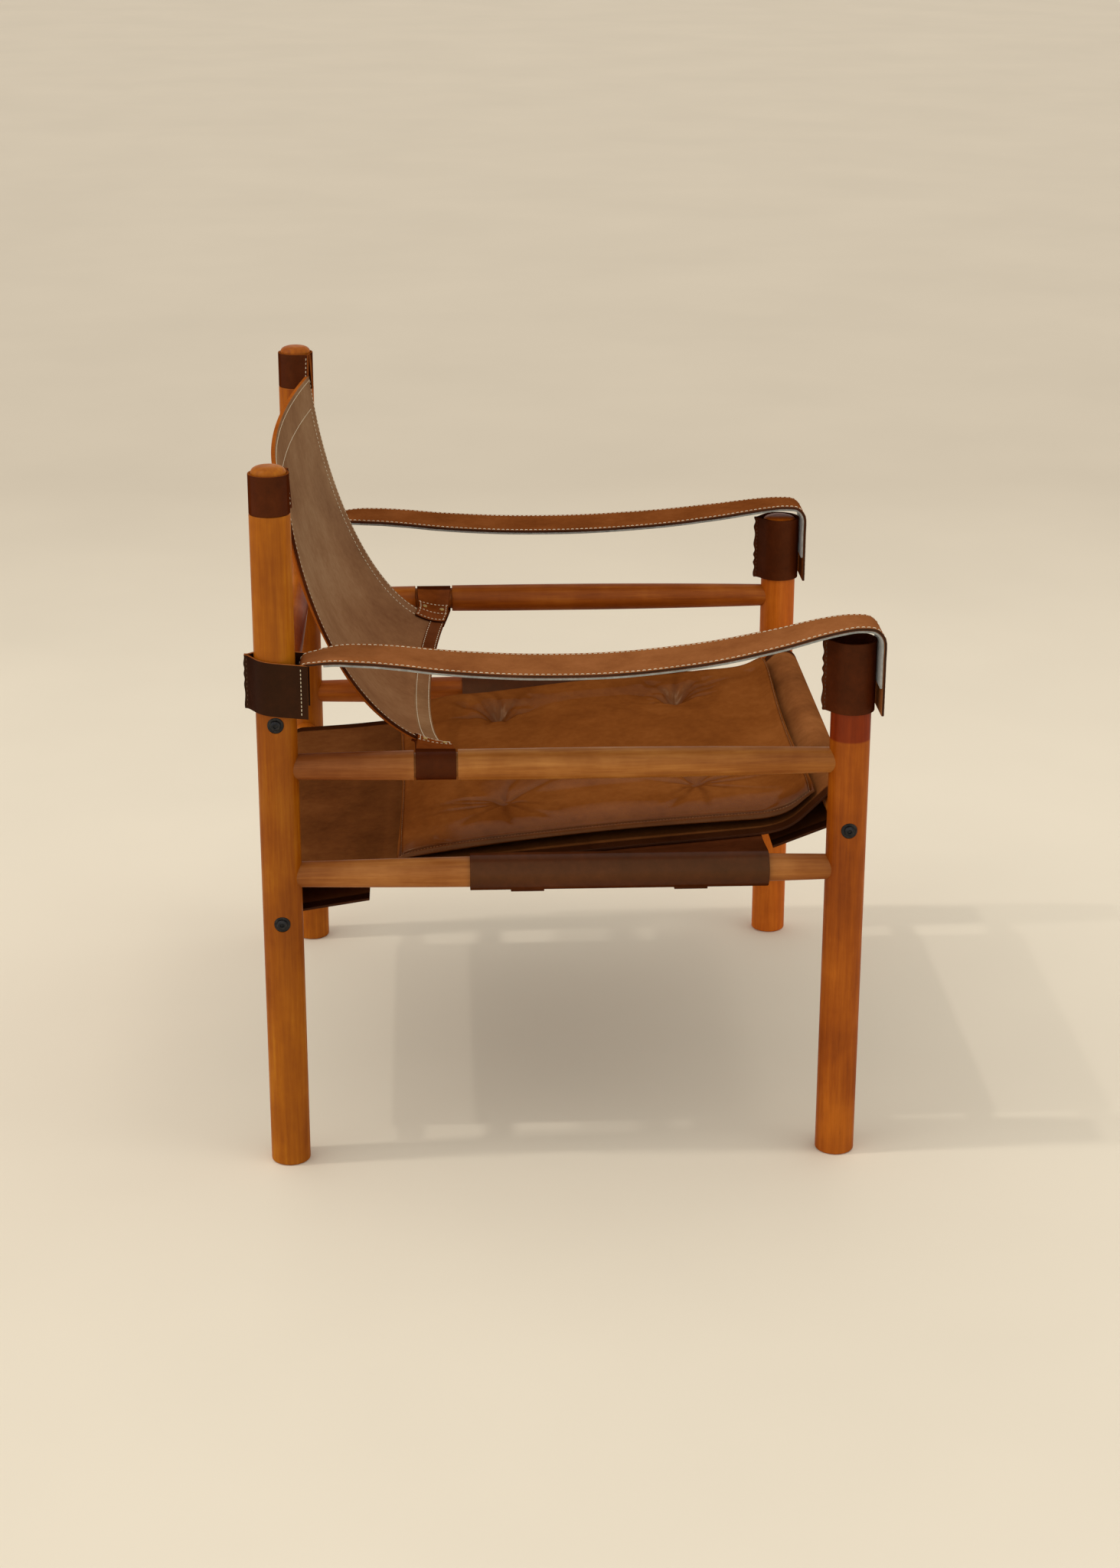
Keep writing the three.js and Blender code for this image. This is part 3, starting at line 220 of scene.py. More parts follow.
def tint(material, axis, low, high, colour):
    """Multiplies a material's base colour by another, more and more from low to high along an
    axis of the object."""
    tree = material.node_tree
    place = add_node(tree, "TexCoord").outputs["Object"]
    along = add_node(tree, "SeparateXYZ", {"Vector": place}).outputs[axis]
    overlay(material, remap(tree, along, low, high), colour)


def emboss(tree, shader, height, strength, depth):
    """Relief from a grey socket, by its strength and its depth in metres."""
    bump = add_node(tree, "Bump", {"Height": height, "Strength": strength, "Distance": depth})
    tree.links.new(bump.outputs["Normal"], shader.inputs["Normal"])


def wood(name, along, light, middle, dark, unfaded=None):
    """Varnished close-grained wood in three display colours. A noise stretched along one axis gives
    soft streaks, a finer one short pores, and a broad one blotches. Between two heights it can keep
    its redder colour."""
    light, middle, dark = (srgb(*shade) for shade in (light, middle, dark))
    material, tree, shader = new_material(name)
    place = add_node(tree, "TexCoord").outputs["Object"]

    def stretched(share):
        scale = [1.0, 1.0, 1.0]
        scale[along] = share
        return add_node(tree, "Mapping", {"Vector": place, "Scale": scale}).outputs["Vector"]

    streaks = noise(tree, stretched(0.05), 210.0, 5.0, 0.62)
    bands = noise(tree, stretched(0.12), 34.0, 2.0)
    blotches = noise(tree, place, 11.0, 4.0, 0.6)
    grain = calculate(tree, "MULTIPLY", streaks, 0.4)
    grain = calculate(tree, "MULTIPLY_ADD", bands, 0.25, grain)
    grain = calculate(tree, "MULTIPLY_ADD", blotches, 0.5, grain)
    share = remap(tree, grain, 0.42, 0.74)
    lower = blend_colours(tree, remap(tree, share, 0.0, 0.5), light, middle)
    colour = blend_colours(tree, remap(tree, share, 0.5, 1.0), lower, dark)
    pores = remap(tree, noise(tree, stretched(0.04), 1300.0, 2.0), 0.58, 0.7)
    colour = blend_colours(tree, calculate(tree, "MULTIPLY", pores, 0.3), colour, dark)
    if unfaded:
        height = add_node(tree, "SeparateXYZ", {"Vector": place}).outputs["Z"]
        low, high = unfaded
        blur = 0.001
        above = remap(tree, height, low - blur, low + blur)
        below = remap(tree, height, high + blur, high - blur)
        inside = calculate(tree, "MULTIPLY", above, below)
        colour = multiplied(tree, inside, colour, (0.62, 0.3, 0.5, 1.0))
    tree.links.new(colour, shader.inputs["Base Color"])
    tree.links.new(remap(tree, blotches, 0.3, 0.7, 0.33, 0.46), shader.inputs["Roughness"])
    shine(tree, shader, 0.24, low_share=0.15, coat=0.1)
    shader.inputs["Coat Roughness"].default_value = 0.28
    height = calculate(tree, "MULTIPLY_ADD", pores, -0.6, streaks)
    emboss(tree, shader, height, 0.15, 0.0003)
    return material


def grid_faces(rows, columns, wrap=False):
    """Four-cornered faces of a grid of points counted row by row. wrap joins its last column to
    its first."""
    i, j = np.meshgrid(np.arange(rows - 1), np.arange(columns if wrap else columns - 1), indexing="ij")
    i, j = i.ravel(), j.ravel()
    following = (j + 1) % columns
    this_row, next_row = i * columns, (i + 1) * columns
    corners = [this_row + j, this_row + following, next_row + following, next_row + j]
    return np.stack(corners, axis=1)


def capped_faces(rows, sides):
    """Faces of rings of points counted ring by ring. Two more points after them close the ends."""
    j = np.arange(sides)
    following = (j + 1) % sides
    first = np.stack([following, j, np.full(sides, rows * sides)], axis=1)
    last = np.stack([j, following, np.full(sides, rows * sides + 1)], axis=1)
    last[:, :2] += (rows - 1) * sides
    return grid_faces(rows, sides, wrap=True), np.concatenate([first, last])


def turned(profile, sides, along, place):
    """Points and faces of a turned solid: pairs of radius and height carried round an axis. The
    first and last radius are nought, and close it on the axis."""
    profile = np.asarray(profile, float)
    angle = np.linspace(0, 2 * np.pi, sides, endpoint=False)
    radius, height = profile[1:-1, :1], profile[1:-1, 1:]
    round_points = [radius * np.cos(angle), radius * np.sin(angle), height + 0 * angle]
    ring_points = np.stack(round_points, axis=-1).reshape(-1, 3)
    ends = [[0, 0, profile[0, 1]], [0, 0, profile[-1, 1]]]
    points = np.concatenate([ring_points, ends])
    order = {0: [2, 0, 1], 1: [1, 2, 0], 2: [0, 1, 2]}[along]
    return points[:, order] + place, *capped_faces(len(profile) - 2, sides)


def sharpen(piece, angle):
    """Keeps edges crisp where faces meet at more than an angle."""
    piece.data.set_sharp_from_angle(angle=math.radians(angle))


half_across = 320.0
half_deep = 304.0
leg_radius = 21.5
back_leg_top = 787.0
front_leg_top = 566.0
neck_radius = 18.3
neck_length = 50.0
neck_shoulder = 0.7
dome_height = 8.0
dome_rise_power, dome_round_power = 0.85, 0.62
foot_round = 2.0
leg_sides, hole_sides = 96, 64
upper_rail_level = 461.0
lower_rail_level = 338.5
front_rail_level = 387.0
back_lower_level = 289.0
back_upper_level = 514.0
washer_radius = 8.5
spot_face_depth = 2.2
washer_play = 0.3
plug_length = 12.0


def leg_profile(top, necked):
    """The foot's round, the straight post, the neck where there is one, and a dome whose outline
    is a flattened quarter circle."""
    turn = np.linspace(0, np.pi / 2, 5)
    foot_radius = leg_radius - foot_round * (1 - np.sin(turn))
    foot = np.stack([foot_radius, foot_round * (1 - np.cos(turn))], axis=1)
    shaft_top = top - (neck_length if necked else dome_height)
    shaft = np.stack([np.full(60, leg_radius), np.linspace(foot_round + 1, shaft_top - 1, 60)], axis=1)
    dome_radius = neck_radius if necked else leg_radius
    turn = np.linspace(0, np.pi / 2, 16)[:-1]
    dome_start = top - dome_height
    dome_rise = dome_start + dome_height * np.sin(turn) ** dome_rise_power
    dome = np.stack([dome_radius * np.cos(turn) ** dome_round_power, dome_rise], axis=1)
    parts = [[[0, 0]], foot, shaft]
    if necked:
        shoulder_start = [leg_radius, shaft_top - neck_shoulder]
        shoulder_end = [leg_radius - neck_shoulder, shaft_top]
        neck_levels = np.linspace(shaft_top + 0.5, dome_start - 1, 5)
        parts.append([shoulder_start, shoulder_end, [dome_radius, shaft_top]])
        parts.append(np.stack([np.full(5, dome_radius), neck_levels], axis=1))
    parts += [dome, [[0, top]]]
    return np.concatenate(parts)


def cut_round_holes(piece, holes, radius, floor_gap):
    """Takes flat-bottomed round recesses out of a piece, each a turned plug along X."""
    plug_end = floor_gap + plug_length
    plug = np.array([[0, floor_gap], [radius, floor_gap], [radius, plug_end], [0, plug_end]])
    for number, (x, y, z, side) in enumerate(holes):
        points, quads, tris = turned(plug * [1, side], hole_sides, 0, (x, y, z))
        cutter = add_piece(f"{piece.name}_cutter_{number}", points, quads, tris, body=None)
        cut = piece.modifiers.new("recess", "BOOLEAN")
        cut.operation = "DIFFERENCE"
        cut.solver = "EXACT"
        cut.object = cutter
        with bpy.context.temp_override(object=piece, active_object=piece, selected_objects=[piece]):
            bpy.ops.object.modifier_apply(modifier=cut.name)
        bpy.data.objects.remove(cutter)


leg_colours = {
    "back_right": ((182, 112, 20), (158, 86, 10), (134, 66, 4)),
    "front_right": ((178, 94, 18), (152, 73, 9), (122, 52, 4)),
    "back_left": ((188, 108, 20), (160, 84, 10), (130, 58, 4)),
    "front_left": ((216, 118, 30), (191, 95, 19), (157, 70, 9)),
}
# The right arm's sleeve sits high, and shows a stretch that it kept from the light.
unfaded_stretches = {"front_right": (0.486, 0.519)}
leg_woods = {
    place: wood("leg_wood_" + place, 2, *colours, unfaded_stretches.get(place))
    for place, colours in leg_colours.items()
}
# Painted shade and light: the back right leg is darker over its middle and lighter towards its top.
tint(leg_woods["back_right"], 2, 0.18, 0.4, (0.78, 0.7, 0.75, 1.0))
tint(leg_woods["back_right"], 2, 0.45, 0.72, (1.43, 1.65, 1.6, 1.0))
sides = [("right", -1), ("left", 1)]
for label, side in sides:
    for end, end_sign in (("back", 1), ("front", -1)):
        node = f"{end}_leg_{label}"
        necked = end == "back"
        profile = leg_profile(back_leg_top if necked else front_leg_top, necked)
        centre = (side * half_across, end_sign * half_deep, 0)
        points, quads, tris = turned(profile, leg_sides, 2, centre)
        leg = add_piece(node + "_turned", points, quads, tris, [leg_woods[f"{end}_{label}"]])
        levels = [back_upper_level, back_lower_level] if necked else [front_rail_level]
        holes = [(side * half_across, end_sign * half_deep, level, side) for level in levels]
        cut_round_holes(leg, holes, washer_radius + washer_play, leg_radius - spot_face_depth)
        leg.data.shade_smooth()
        sharpen(leg, 35)
        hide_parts(node)

# Rails
# Seven cigar-shaped turned rails that plug into the legs. The upper side pair have a groove each,
# where a loop of the back sling sits flush.
rail_radius = 16.8
rail_end_radius = 13.8
rail_taper_power = 2.2
rail_in_leg = 12.0
rail_sides, rail_stations = 96, 121
half_span_deep = half_deep - leg_radius
half_span_across = half_across - leg_radius
groove_middle = 137.0
groove_half = 23.25
groove_depth = 3.1
groove_round = 0.6
groove_margin = 2.0


def rail_radius_at(distance, half_span):
    """Full in the middle, drawn in towards the ends by a power of the distance."""
    share = np.minimum(np.abs(distance) / half_span, 1)
    return rail_radius - (rail_radius - rail_end_radius) * share**rail_taper_power


def rail_profile(half_span, groove):
    """The rail's outline from end to end, with the groove's two rounded shoulders."""
    half_length = half_span + rail_in_leg
    distance = np.linspace(-half_length, half_length, rail_stations)
    radius = rail_radius_at(distance, half_span)
    if groove:
        start, end = groove_middle - groove_half, groove_middle + groove_half
        kept = (distance < start - groove_margin) | (distance > end + groove_margin)
        floor_radius = rail_radius_at(groove_middle, half_span) - groove_depth
        top_start = rail_radius_at(start, half_span)
        top_end = rail_radius_at(end, half_span)
        edge_distance = [start - groove_round, start - groove_round / 3, start, start, end, end]
        edge_distance += [end + groove_round / 3, end + groove_round]
        edge_radius = [top_start, top_start - groove_round / 4, top_start - groove_round, floor_radius]
        edge_radius += [floor_radius, top_end - groove_round, top_end - groove_round / 4, top_end]
        distance = np.concatenate([distance[kept], edge_distance])
        radius = np.concatenate([radius[kept], edge_radius])
        order = np.argsort(distance, kind="stable")
        distance, radius = distance[order], radius[order]
    profile = np.stack([radius, distance], axis=1)
    return np.concatenate([[[0, -half_length]], profile, [[0, half_length]]])


left_rail_colours = ((188, 106, 34), (160, 80, 20), (126, 56, 12))
rail_colours = {
    "upper_right": ((182, 120, 58), (156, 94, 39), (126, 66, 21)),
    "lower_right": ((174, 112, 56), (149, 88, 38), (121, 62, 22)),
    "upper_left": left_rail_colours,
    "lower_left": left_rail_colours,
}
rail_woods = {place: wood("rail_wood_" + place, 1, *colours) for place, colours in rail_colours.items()}
# Painted shadow: the upper right rail is darker behind its groove, towards the back leg.
tint(rail_woods["upper_right"], 1, 0.1, 0.2, (0.7, 0.6, 0.7, 1.0))
side_rails = [("upper", upper_rail_level, True), ("lower", lower_rail_level, False)]
for label, side in sides:
    for height_label, level, groove in side_rails:
        profile = rail_profile(half_span_deep, groove)
        points, quads, tris = turned(profile, rail_sides, 1, (side * half_across, 0, level))
        node = f"{height_label}_side_rail_{label}"
        rail = add_piece(node + "_turned", points, quads, tris, [rail_woods[f"{height_label}_{label}"]])
        sharpen(rail, 40)
        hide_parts(node)

cross_wood = wood("cross_rail_wood", 0, (188, 108, 28), (160, 84, 16), (126, 58, 8))
cross_rails = [
    ("back_upper", half_deep, back_upper_level),
    ("back_lower", half_deep, back_lower_level),
    ("front", -half_deep, front_rail_level),
]
for name, y, z in cross_rails:
    profile = rail_profile(half_span_across, False)
    points, quads, tris = turned(profile, rail_sides, 0, (0, y, z))
    rail = add_piece(name + "_cross_rail_turned", points, quads, tris, [cross_wood])
    sharpen(rail, 40)
    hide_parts(name + "_cross_rail")


# Bolts and washers
# Button-head socket bolts of blacked steel, each on a washer in the leg's recess. The brass
# inserts that they screw into are inside the rails and stay as they are.
def metal(name, colour, worn_colour, roughness):
    """Metal with a faint brushed or worn mottle between two display colours."""
    material, tree, shader = new_material(name)
    place = add_node(tree, "TexCoord").outputs["Object"]
    wear = noise(tree, place, 260.0, 5.0)
    worn = blend_colours(tree, remap(tree, wear, 0.45, 0.75), srgb(*colour), srgb(*worn_colour))
    tree.links.new(worn, shader.inputs["Base Color"])
    rough = remap(tree, noise(tree, place, 90.0, 3.0), 0.3, 0.7, roughness - 0.07, roughness + 0.1)
    tree.links.new(rough, shader.inputs["Roughness"])
    shader.inputs["Metallic"].default_value = 0.85
    emboss(tree, shader, wear, 0.12, 0.0001)
    return material


def keep_solid(node, material):
    """Gives a node's own solid a material."""
    node.data.materials.clear()
    node.data.materials.append(material)


black_steel = metal("black_steel", (38, 38, 40), (62, 60, 58), 0.42)
brass = metal("brass", (176, 146, 84), (130, 104, 56), 0.34)
bolt_head_radius = 5.5
bolt_head_height = 3.3
bolt_head_rim = 0.9
bolt_crown_power = 0.75
bolt_below_head = 2.0
hex_radius = 2.3
hex_depth = 2.0
hex_lip, hex_lip_drop = 0.2, 0.25
hex_floor_share, hex_floor_dish = 0.98, 0.3
washer_thickness = 1.6
washer_chamfer = 0.25
washer_gap = 0.1
washer_sides, bolt_sides = 64, 48
washer_face = leg_radius - spot_face_depth + washer_gap
bolt_face = washer_face + washer_thickness
washer_outline = np.array([
    [0, washer_face],
    [washer_radius, washer_face],
    [washer_radius, bolt_face - washer_chamfer],
    [washer_radius - washer_chamfer, bolt_face],
    [0, bolt_face],
])
# The head's crown is a flattened quarter circle that stops short of the hexagon's lip.
turn = np.linspace(0, np.pi / 2, 10)
crown_radius = bolt_head_radius * np.cos(turn) ** bolt_crown_power
crown_level = bolt_head_rim + (bolt_head_height - bolt_head_rim) * np.sin(turn)
crown = np.stack([crown_radius, crown_level], axis=1)[crown_radius > hex_radius + 0.3]
hex_floor = bolt_head_height - hex_depth
bolt_outline = np.array([
    [0, -bolt_below_head],
    [bolt_head_radius, -bolt_below_head],
    *crown,
    [hex_radius + hex_lip, bolt_head_height],
    [hex_radius, bolt_head_height - hex_lip_drop],
    [hex_radius * hex_floor_share, hex_floor],
    [0, hex_floor - hex_floor_dish],
])
for name, y, z in cross_rails:
    for label, side in sides:
        centre = (side * half_across, y, z)
        points, quads, tris = turned(washer_outline * [1, side], washer_sides, 0, centre)
        washer = add_piece(f"{name}_washer_{label}_round", points, quads, tris, [black_steel])
        sharpen(washer, 30)
        outline = (bolt_outline + [0, bolt_face]) * [1, side]
        points, quads, tris = turned(outline, bolt_sides, 0, centre)
        bolt = add_piece(f"{name}_bolt_{label}_round", points, quads, tris, [black_steel])
        sharpen(bolt, 35)
        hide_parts(f"{name}_bolt_{label}")
        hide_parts(f"{name}_washer_{label}")
        keep_solid(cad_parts[f"{name}_insert_{label}"], brass)


# Back sling
# One hammock-shaped hide between the necks of the back legs and the grooves of the side rails.
# Its border is turned in and sewn with a line of thread at the edge and one at the inner side.
def soften(piece, width, segments=2, angle=50.0):
    """Rounds the edges where faces meet at more than an angle."""
    bevel = piece.modifiers.new("edges", "BEVEL")
    bevel.width = width * 0.001
    bevel.segments = segments
    bevel.limit_method = "ANGLE"
    bevel.angle_limit = math.radians(angle)
    bevel.harden_normals = True


def leather(name, light, base, dark, roughness=0.5, grain=1.0, gloss=0.22, patch=10.0):
    """Worn leather in three display colours: patches of wear, a finer mottle, and a pebbled grain of
    small cells."""
    light, base, dark = (srgb(*shade) for shade in (light, base, dark))
    material, tree, shader = new_material(name)
    place = add_node(tree, "TexCoord").outputs["Object"]
    patches = noise(tree, place, patch, 5.0, 0.6)
    mottle = noise(tree, place, 120.0, 6.0, 0.65)
    worn = calculate(tree, "MULTIPLY_ADD", mottle, 0.35, patches)
    share = remap(tree, worn, 0.42, 0.95)
    lower = blend_colours(tree, remap(tree, share, 0.0, 0.5), dark, base)
    colour = blend_colours(tree, remap(tree, share, 0.5, 1.0), lower, light)
    tree.links.new(colour, shader.inputs["Base Color"])
    rough = remap(tree, worn, 0.4, 0.95, roughness + 0.08, roughness - 0.08)
    tree.links.new(rough, shader.inputs["Roughness"])
    shine(tree, shader, gloss, 0.0)
    cell_values = {"Vector": place, "Scale": 620.0, "Smoothness": 0.6}
    cells = add_node(tree, "TexVoronoi", cell_values, feature="SMOOTH_F1").outputs["Distance"]
    fine = noise(tree, place, 900.0, 3.0)
    height = calculate(tree, "MULTIPLY_ADD", cells, -0.7, fine)
    height = calculate(tree, "MULTIPLY_ADD", mottle, 0.8, height)
    emboss(tree, shader, height, 0.28 * grain, 0.0004)
    return material


def thread(name, colour, shade):
    """Waxed thread in two display colours, with the twist of its plies."""
    material, tree, shader = new_material(name)
    place = add_node(tree, "TexCoord").outputs["Object"]
    twist = add_node(tree, "TexWave", {"Vector": place, "Scale": 420.0, "Distortion": 1.0}).outputs["Fac"]
    striped = blend_colours(tree, remap(tree, twist, 0.2, 0.8), srgb(*shade), srgb(*colour))
    tree.links.new(striped, shader.inputs["Base Color"])
    shader.inputs["Roughness"].default_value = 0.7
    emboss(tree, shader, twist, 0.3, 0.0002)
    return material


def bezier(points, share):
    """Points of a cubic curve at shares from 0 to 1: its control points times binomial weights."""
    t = np.asarray(share, float)[..., None]
    a, b, c, d = (np.asarray(p, float) for p in points)
    return (1 - t) ** 3 * a + 3 * t * (1 - t) ** 2 * b + 3 * t**2 * (1 - t) * c + t**3 * d


def unit(vectors):
    """Vectors over their lengths."""
    return vectors / np.maximum(np.linalg.norm(vectors, axis=-1, keepdims=True), 1e-9)


def sheet_shell(upper, lower, head_rim=2):
    """Points, faces and face kinds of a closed sheet between two grids: 0 its upper face, 1 its
    lower, 2 its rims, and head_rim the rim at its first row."""
    rows, columns = upper.shape[:2]
    count = rows * columns
    points = np.concatenate([upper.reshape(-1, 3), lower.reshape(-1, 3)])
    top = grid_faces(rows, columns)
    bottom = top[:, ::-1] + count
    start, j = np.arange(rows - 1) * columns, np.arange(columns - 1)
    first = np.stack([j + 1, j, j + count, j + 1 + count], axis=1)
    last_row = (rows - 1) * columns
    last = np.stack([j, j + 1, j + 1 + count, j + count], axis=1) + last_row
    left = np.stack([start, start + columns, start + columns + count, start + count], axis=1)
    right = left[:, ::-1] + columns - 1
    rims = np.concatenate([first, last, left, right])
    counts = [len(top), len(bottom), len(first), len(last), len(left) + len(right)]
    kinds = np.array([0, 1, head_rim, 2, 2])[np.repeat(np.arange(5), counts)]
    return points, np.concatenate([top, bottom, rims]), kinds


def repeated(quads, tris, count, size):
    """The faces of as many copies of a shape, each with its own points, one after another."""
    offsets = np.arange(count)[:, None, None] * size
    return (quads + offsets).reshape(-1, 4), (tris + offsets).reshape(-1, 3)


def stitches(name, path, normals, pitch, material, body="chair", length_share=0.66, radius=0.52):
    """A row of thread stitches along a path on leather. Each is a small bead, bowed so that its
    two ends go into the leather."""
    path = np.asarray(path, float)
    step = np.linalg.norm(np.diff(path, axis=0), axis=1)
    run = np.concatenate([[0], np.cumsum(step)])
    count = max(int(run[-1] / pitch), 1)
    middle = (np.arange(count) + 0.5) * run[-1] / count
    gap = run[-1] / count * length_share / 2

    def at(values, where):
        return np.stack([np.interp(where, run, values[:, k]) for k in range(3)], axis=1)

    centre = at(path, middle)
    along = unit(at(path, middle + gap) - at(path, middle - gap))
    up = unit(at(np.asarray(normals, float), middle))
    aside = unit(np.cross(along, up))
    share = np.array([-0.9, -0.62, 0.0, 0.62, 0.9])
    thickness = np.array([0.6, 0.95, 1.0, 0.95, 0.6])
    lift = np.array([-0.5, 0.15, 0.42, 0.15, -0.5])
    round_count = 6
    turn = np.linspace(0, 2 * np.pi, round_count, endpoint=False)
    s = np.repeat(share, round_count)
    u = (thickness[:, None] * np.sin(turn) + lift[:, None]).ravel() * radius
    w = (thickness[:, None] * np.cos(turn)).ravel() * radius
    s, u, w = np.append(s, [-1, 1]), np.append(u, [-0.9 * radius] * 2), np.append(w, [0, 0])
    parts = s[:, None] * gap * along[:, None] + u[:, None] * up[:, None] + w[:, None] * aside[:, None]
    points = (centre[:, None] + parts).reshape(-1, 3)
    quads, tris = repeated(*capped_faces(len(share), round_count), count, len(s))
    add_piece(name, points, quads, tris, [material], body=body)


pale_thread = thread("pale_thread", (234, 218, 188), (196, 176, 142))
dark_thread = thread("dark_thread", (96, 62, 40), (60, 36, 24))
sling_face = leather("sling_face", (157, 126, 94), (139, 105, 75), (116, 82, 57), 0.66, 0.5, 0.12, 7.0)
tint(sling_face, 2, 0.62, 0.44, (0.92, 0.74, 0.62, 1.0))
sling_hem = leather("sling_hem", (156, 119, 84), (138, 100, 67), (114, 77, 48), 0.6, 0.6, 0.14, 9.0)
tint(sling_hem, 0, 0.0, 0.16, (0.55, 0.3, 0.2, 1.0))
sling_back = leather("sling_back", (180, 100, 38), (158, 82, 26), (128, 62, 18), 0.5, 1.0, 0.1)
sling_edge = leather("sling_edge", (96, 44, 18), (70, 30, 11), (50, 20, 7), 0.6, 0.8, 0.08)
raw_edge = leather("raw_edge", (190, 124, 66), (164, 98, 48), (124, 66, 28), 0.75)

mirror = np.array([-1.0, 1.0, 1.0])
head_corner = np.array([303.2, 288.7, 753.3])
side_upper_bow = np.array([314.2, 273.0, 594.7])
side_lower_bow = np.array([234.2, 200.0, 457.4])
foot_corner = np.array([250.2, 120.3, 456.8])
head_bow = np.array([104.3, 321.6, 748.2])
foot_bow = np.array([156.2, 150.1, 419.3])
left_side = [head_corner, side_upper_bow, side_lower_bow, foot_corner]
right_side = [point * mirror for point in left_side]
head_edge = [head_corner * mirror, head_bow * mirror, head_bow, head_corner]
foot_edge = [foot_corner * mirror, foot_bow * mirror, foot_bow, foot_corner]
sling_half = 1.4


def back_surface(u, v):
    """The sling's middle surface: the blend of its two side edges, plus the blend of its head and
    foot edges, less the blend of its corners. u runs from right to left, v from head to foot."""
    u, v = np.broadcast_arrays(np.asarray(u, float), np.asarray(v, float))
    across, down = u[..., None], v[..., None]
    point = bezier(head_edge, u) * (1 - down) + bezier(foot_edge, u) * down
    point = point + bezier(right_side, v) * (1 - across) + bezier(left_side, v) * across
    point = point - head_edge[0] * (1 - across) * (1 - down) - head_edge[3] * across * (1 - down)
    return point - foot_edge[0] * (1 - across) * down - foot_edge[3] * across * down


def back_point(u, v, out):
    """A point at a distance in front of the sling's middle surface."""
    step = 0.002
    u, v = np.broadcast_arrays(np.asarray(u, float), np.asarray(v, float))
    across = back_surface(u + step, v) - back_surface(u - step, v)
    down = back_surface(u, v + step) - back_surface(u, v - step)
    normal = unit(np.cross(down, across))
    normal = normal * np.where(normal[..., 1:2] > 0, -1, 1)
    return back_surface(u, v) + normal * np.asarray(out)[..., None], normal


border_step, border_step_run = 0.9, 1.6
side_border = 24.0
head_border = 32.0
foot_border = 30.0
head_roll_depth, head_roll_length, head_roll_run = 1.3, 9.0, 2.0
back_rows, back_columns = 150, 170
v_grid, u_grid = np.meshgrid(np.linspace(0, 1, back_rows), np.linspace(0, 1, back_columns), indexing="ij")
middle_points = back_surface(u_grid, v_grid)
width_here = np.linalg.norm(np.diff(middle_points, axis=1), axis=2).sum(axis=1)[:, None]
height_here = np.linalg.norm(np.diff(middle_points, axis=0), axis=2).sum(axis=0)[None, :]
from_side = np.minimum(u_grid, 1 - u_grid) * width_here
from_head = v_grid * height_here
from_foot = (1 - v_grid) * height_here
inward = np.minimum(np.minimum(from_side - side_border, from_head - head_border), from_foot - foot_border)
ply = border_step * np.clip(0.5 - inward / border_step_run, 0, 1)
# Low waves of the slack hide, which fade out towards the border, and two dents.
crease_u = 9.0 * (u_grid - 0.5)
near_middle = np.exp(-(((v_grid - 0.55) / 0.3) ** 2))
ripple = 1.1 * np.sin(5.2 * v_grid + 2.0 * np.cos(crease_u)) * near_middle
ripple = ripple + 0.5 * np.sin(2.3 * crease_u + 7 * v_grid)
ripple = ripple * np.clip((inward - 4) / 30, 0, 1)
for dent_u, dent_v, dent_depth, dent_size in ((0.9, 0.5, 3.5, 26.0), (0.12, 0.62, 2.5, 30.0)):
    dent_across = (u_grid - dent_u) * width_here / dent_size
    dent_down = (v_grid - dent_v) * height_here / dent_size
    ripple = ripple - dent_depth * np.exp(-(dent_across**2) - dent_down**2 / 3)
roll = head_roll_depth * np.clip(0.5 - (from_head - head_roll_length) / head_roll_run, 0, 1)
upper, _ = back_point(u_grid, v_grid, sling_half + ply + ripple)
lower, _ = back_point(u_grid, v_grid, ripple - sling_half - roll)
points, quads, kinds = sheet_shell(upper, lower, head_rim=1)
hem_cells = (from_foot[1:, 1:] < foot_border - 1).ravel()
kinds[: len(hem_cells)] = np.where(hem_cells, 3, 0)
materials = [sling_face, sling_back, sling_edge, sling_hem]
back_sling = add_piece("back_sling_hide", points, quads, (), materials, kinds)
soften(back_sling, 0.9, 3)
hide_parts("back_sling")


edge_inset, hem_inset = 4.0, 2.5
back_stitch_pitch = 5.2
line_share = np.linspace(0, 1, 160)
width_head, width_foot = width_here[0, 0], width_here[-1, 0]


def back_line(name, u, v, out=sling_half + border_step):
    """A line of stitches on the front of the back sling."""
    path, normal = back_point(u, v, np.full(len(u), out))
    stitches(name, path, normal, back_stitch_pitch, pale_thread)


for label, side in sides:
    for line, inset in (("edge", edge_inset), ("inner", side_border - hem_inset)):
        start, end = (edge_inset, edge_inset) if line == "edge" else (head_border, foot_border - hem_inset)
        v = start / height_here[0, 0] + line_share * (1 - (start + end) / height_here[0, 0])
        share_in = inset / np.interp(v, v_grid[:, 0], width_here[:, 0])
        back_line(f"back_sling_{line}_stitches_{label}", share_in if side < 0 else 1 - share_in, v)
for line in ("edge", "inner"):
    for end, border, width in (("head", head_border, width_head), ("foot", foot_border, width_foot)):
        inside = edge_inset if line == "edge" else side_border - hem_inset
        u = inside / width + line_share * (1 - 2 * inside / width)
        depth = edge_inset if line == "edge" else border - hem_inset
        share_in = depth / np.interp(u, u_grid[0], height_here[0])
        back_line(f"back_sling_{end}_{line}_stitches", u, share_in if end == "head" else 1 - share_in)

# Bands on the necks
# A strip of dark leather round each neck, whose two ends close like a pear on the corner of the
# back sling and are sewn through it with two rows of thread.
dark_leather = leather("dark_leather", (92, 41, 14), (74, 30, 9), (54, 21, 6), 0.46, 0.8, 0.13)
band_thickness = 2.8


def resample(route, count):
    """A route's points again, evenly spaced."""
    run = np.concatenate([[0], np.cumsum(np.linalg.norm(np.diff(route, axis=0), axis=1))])
    where = np.linspace(0, run[-1], count)
    return np.stack([np.interp(where, run, route[:, k]) for k in range(route.shape[1])], axis=1)


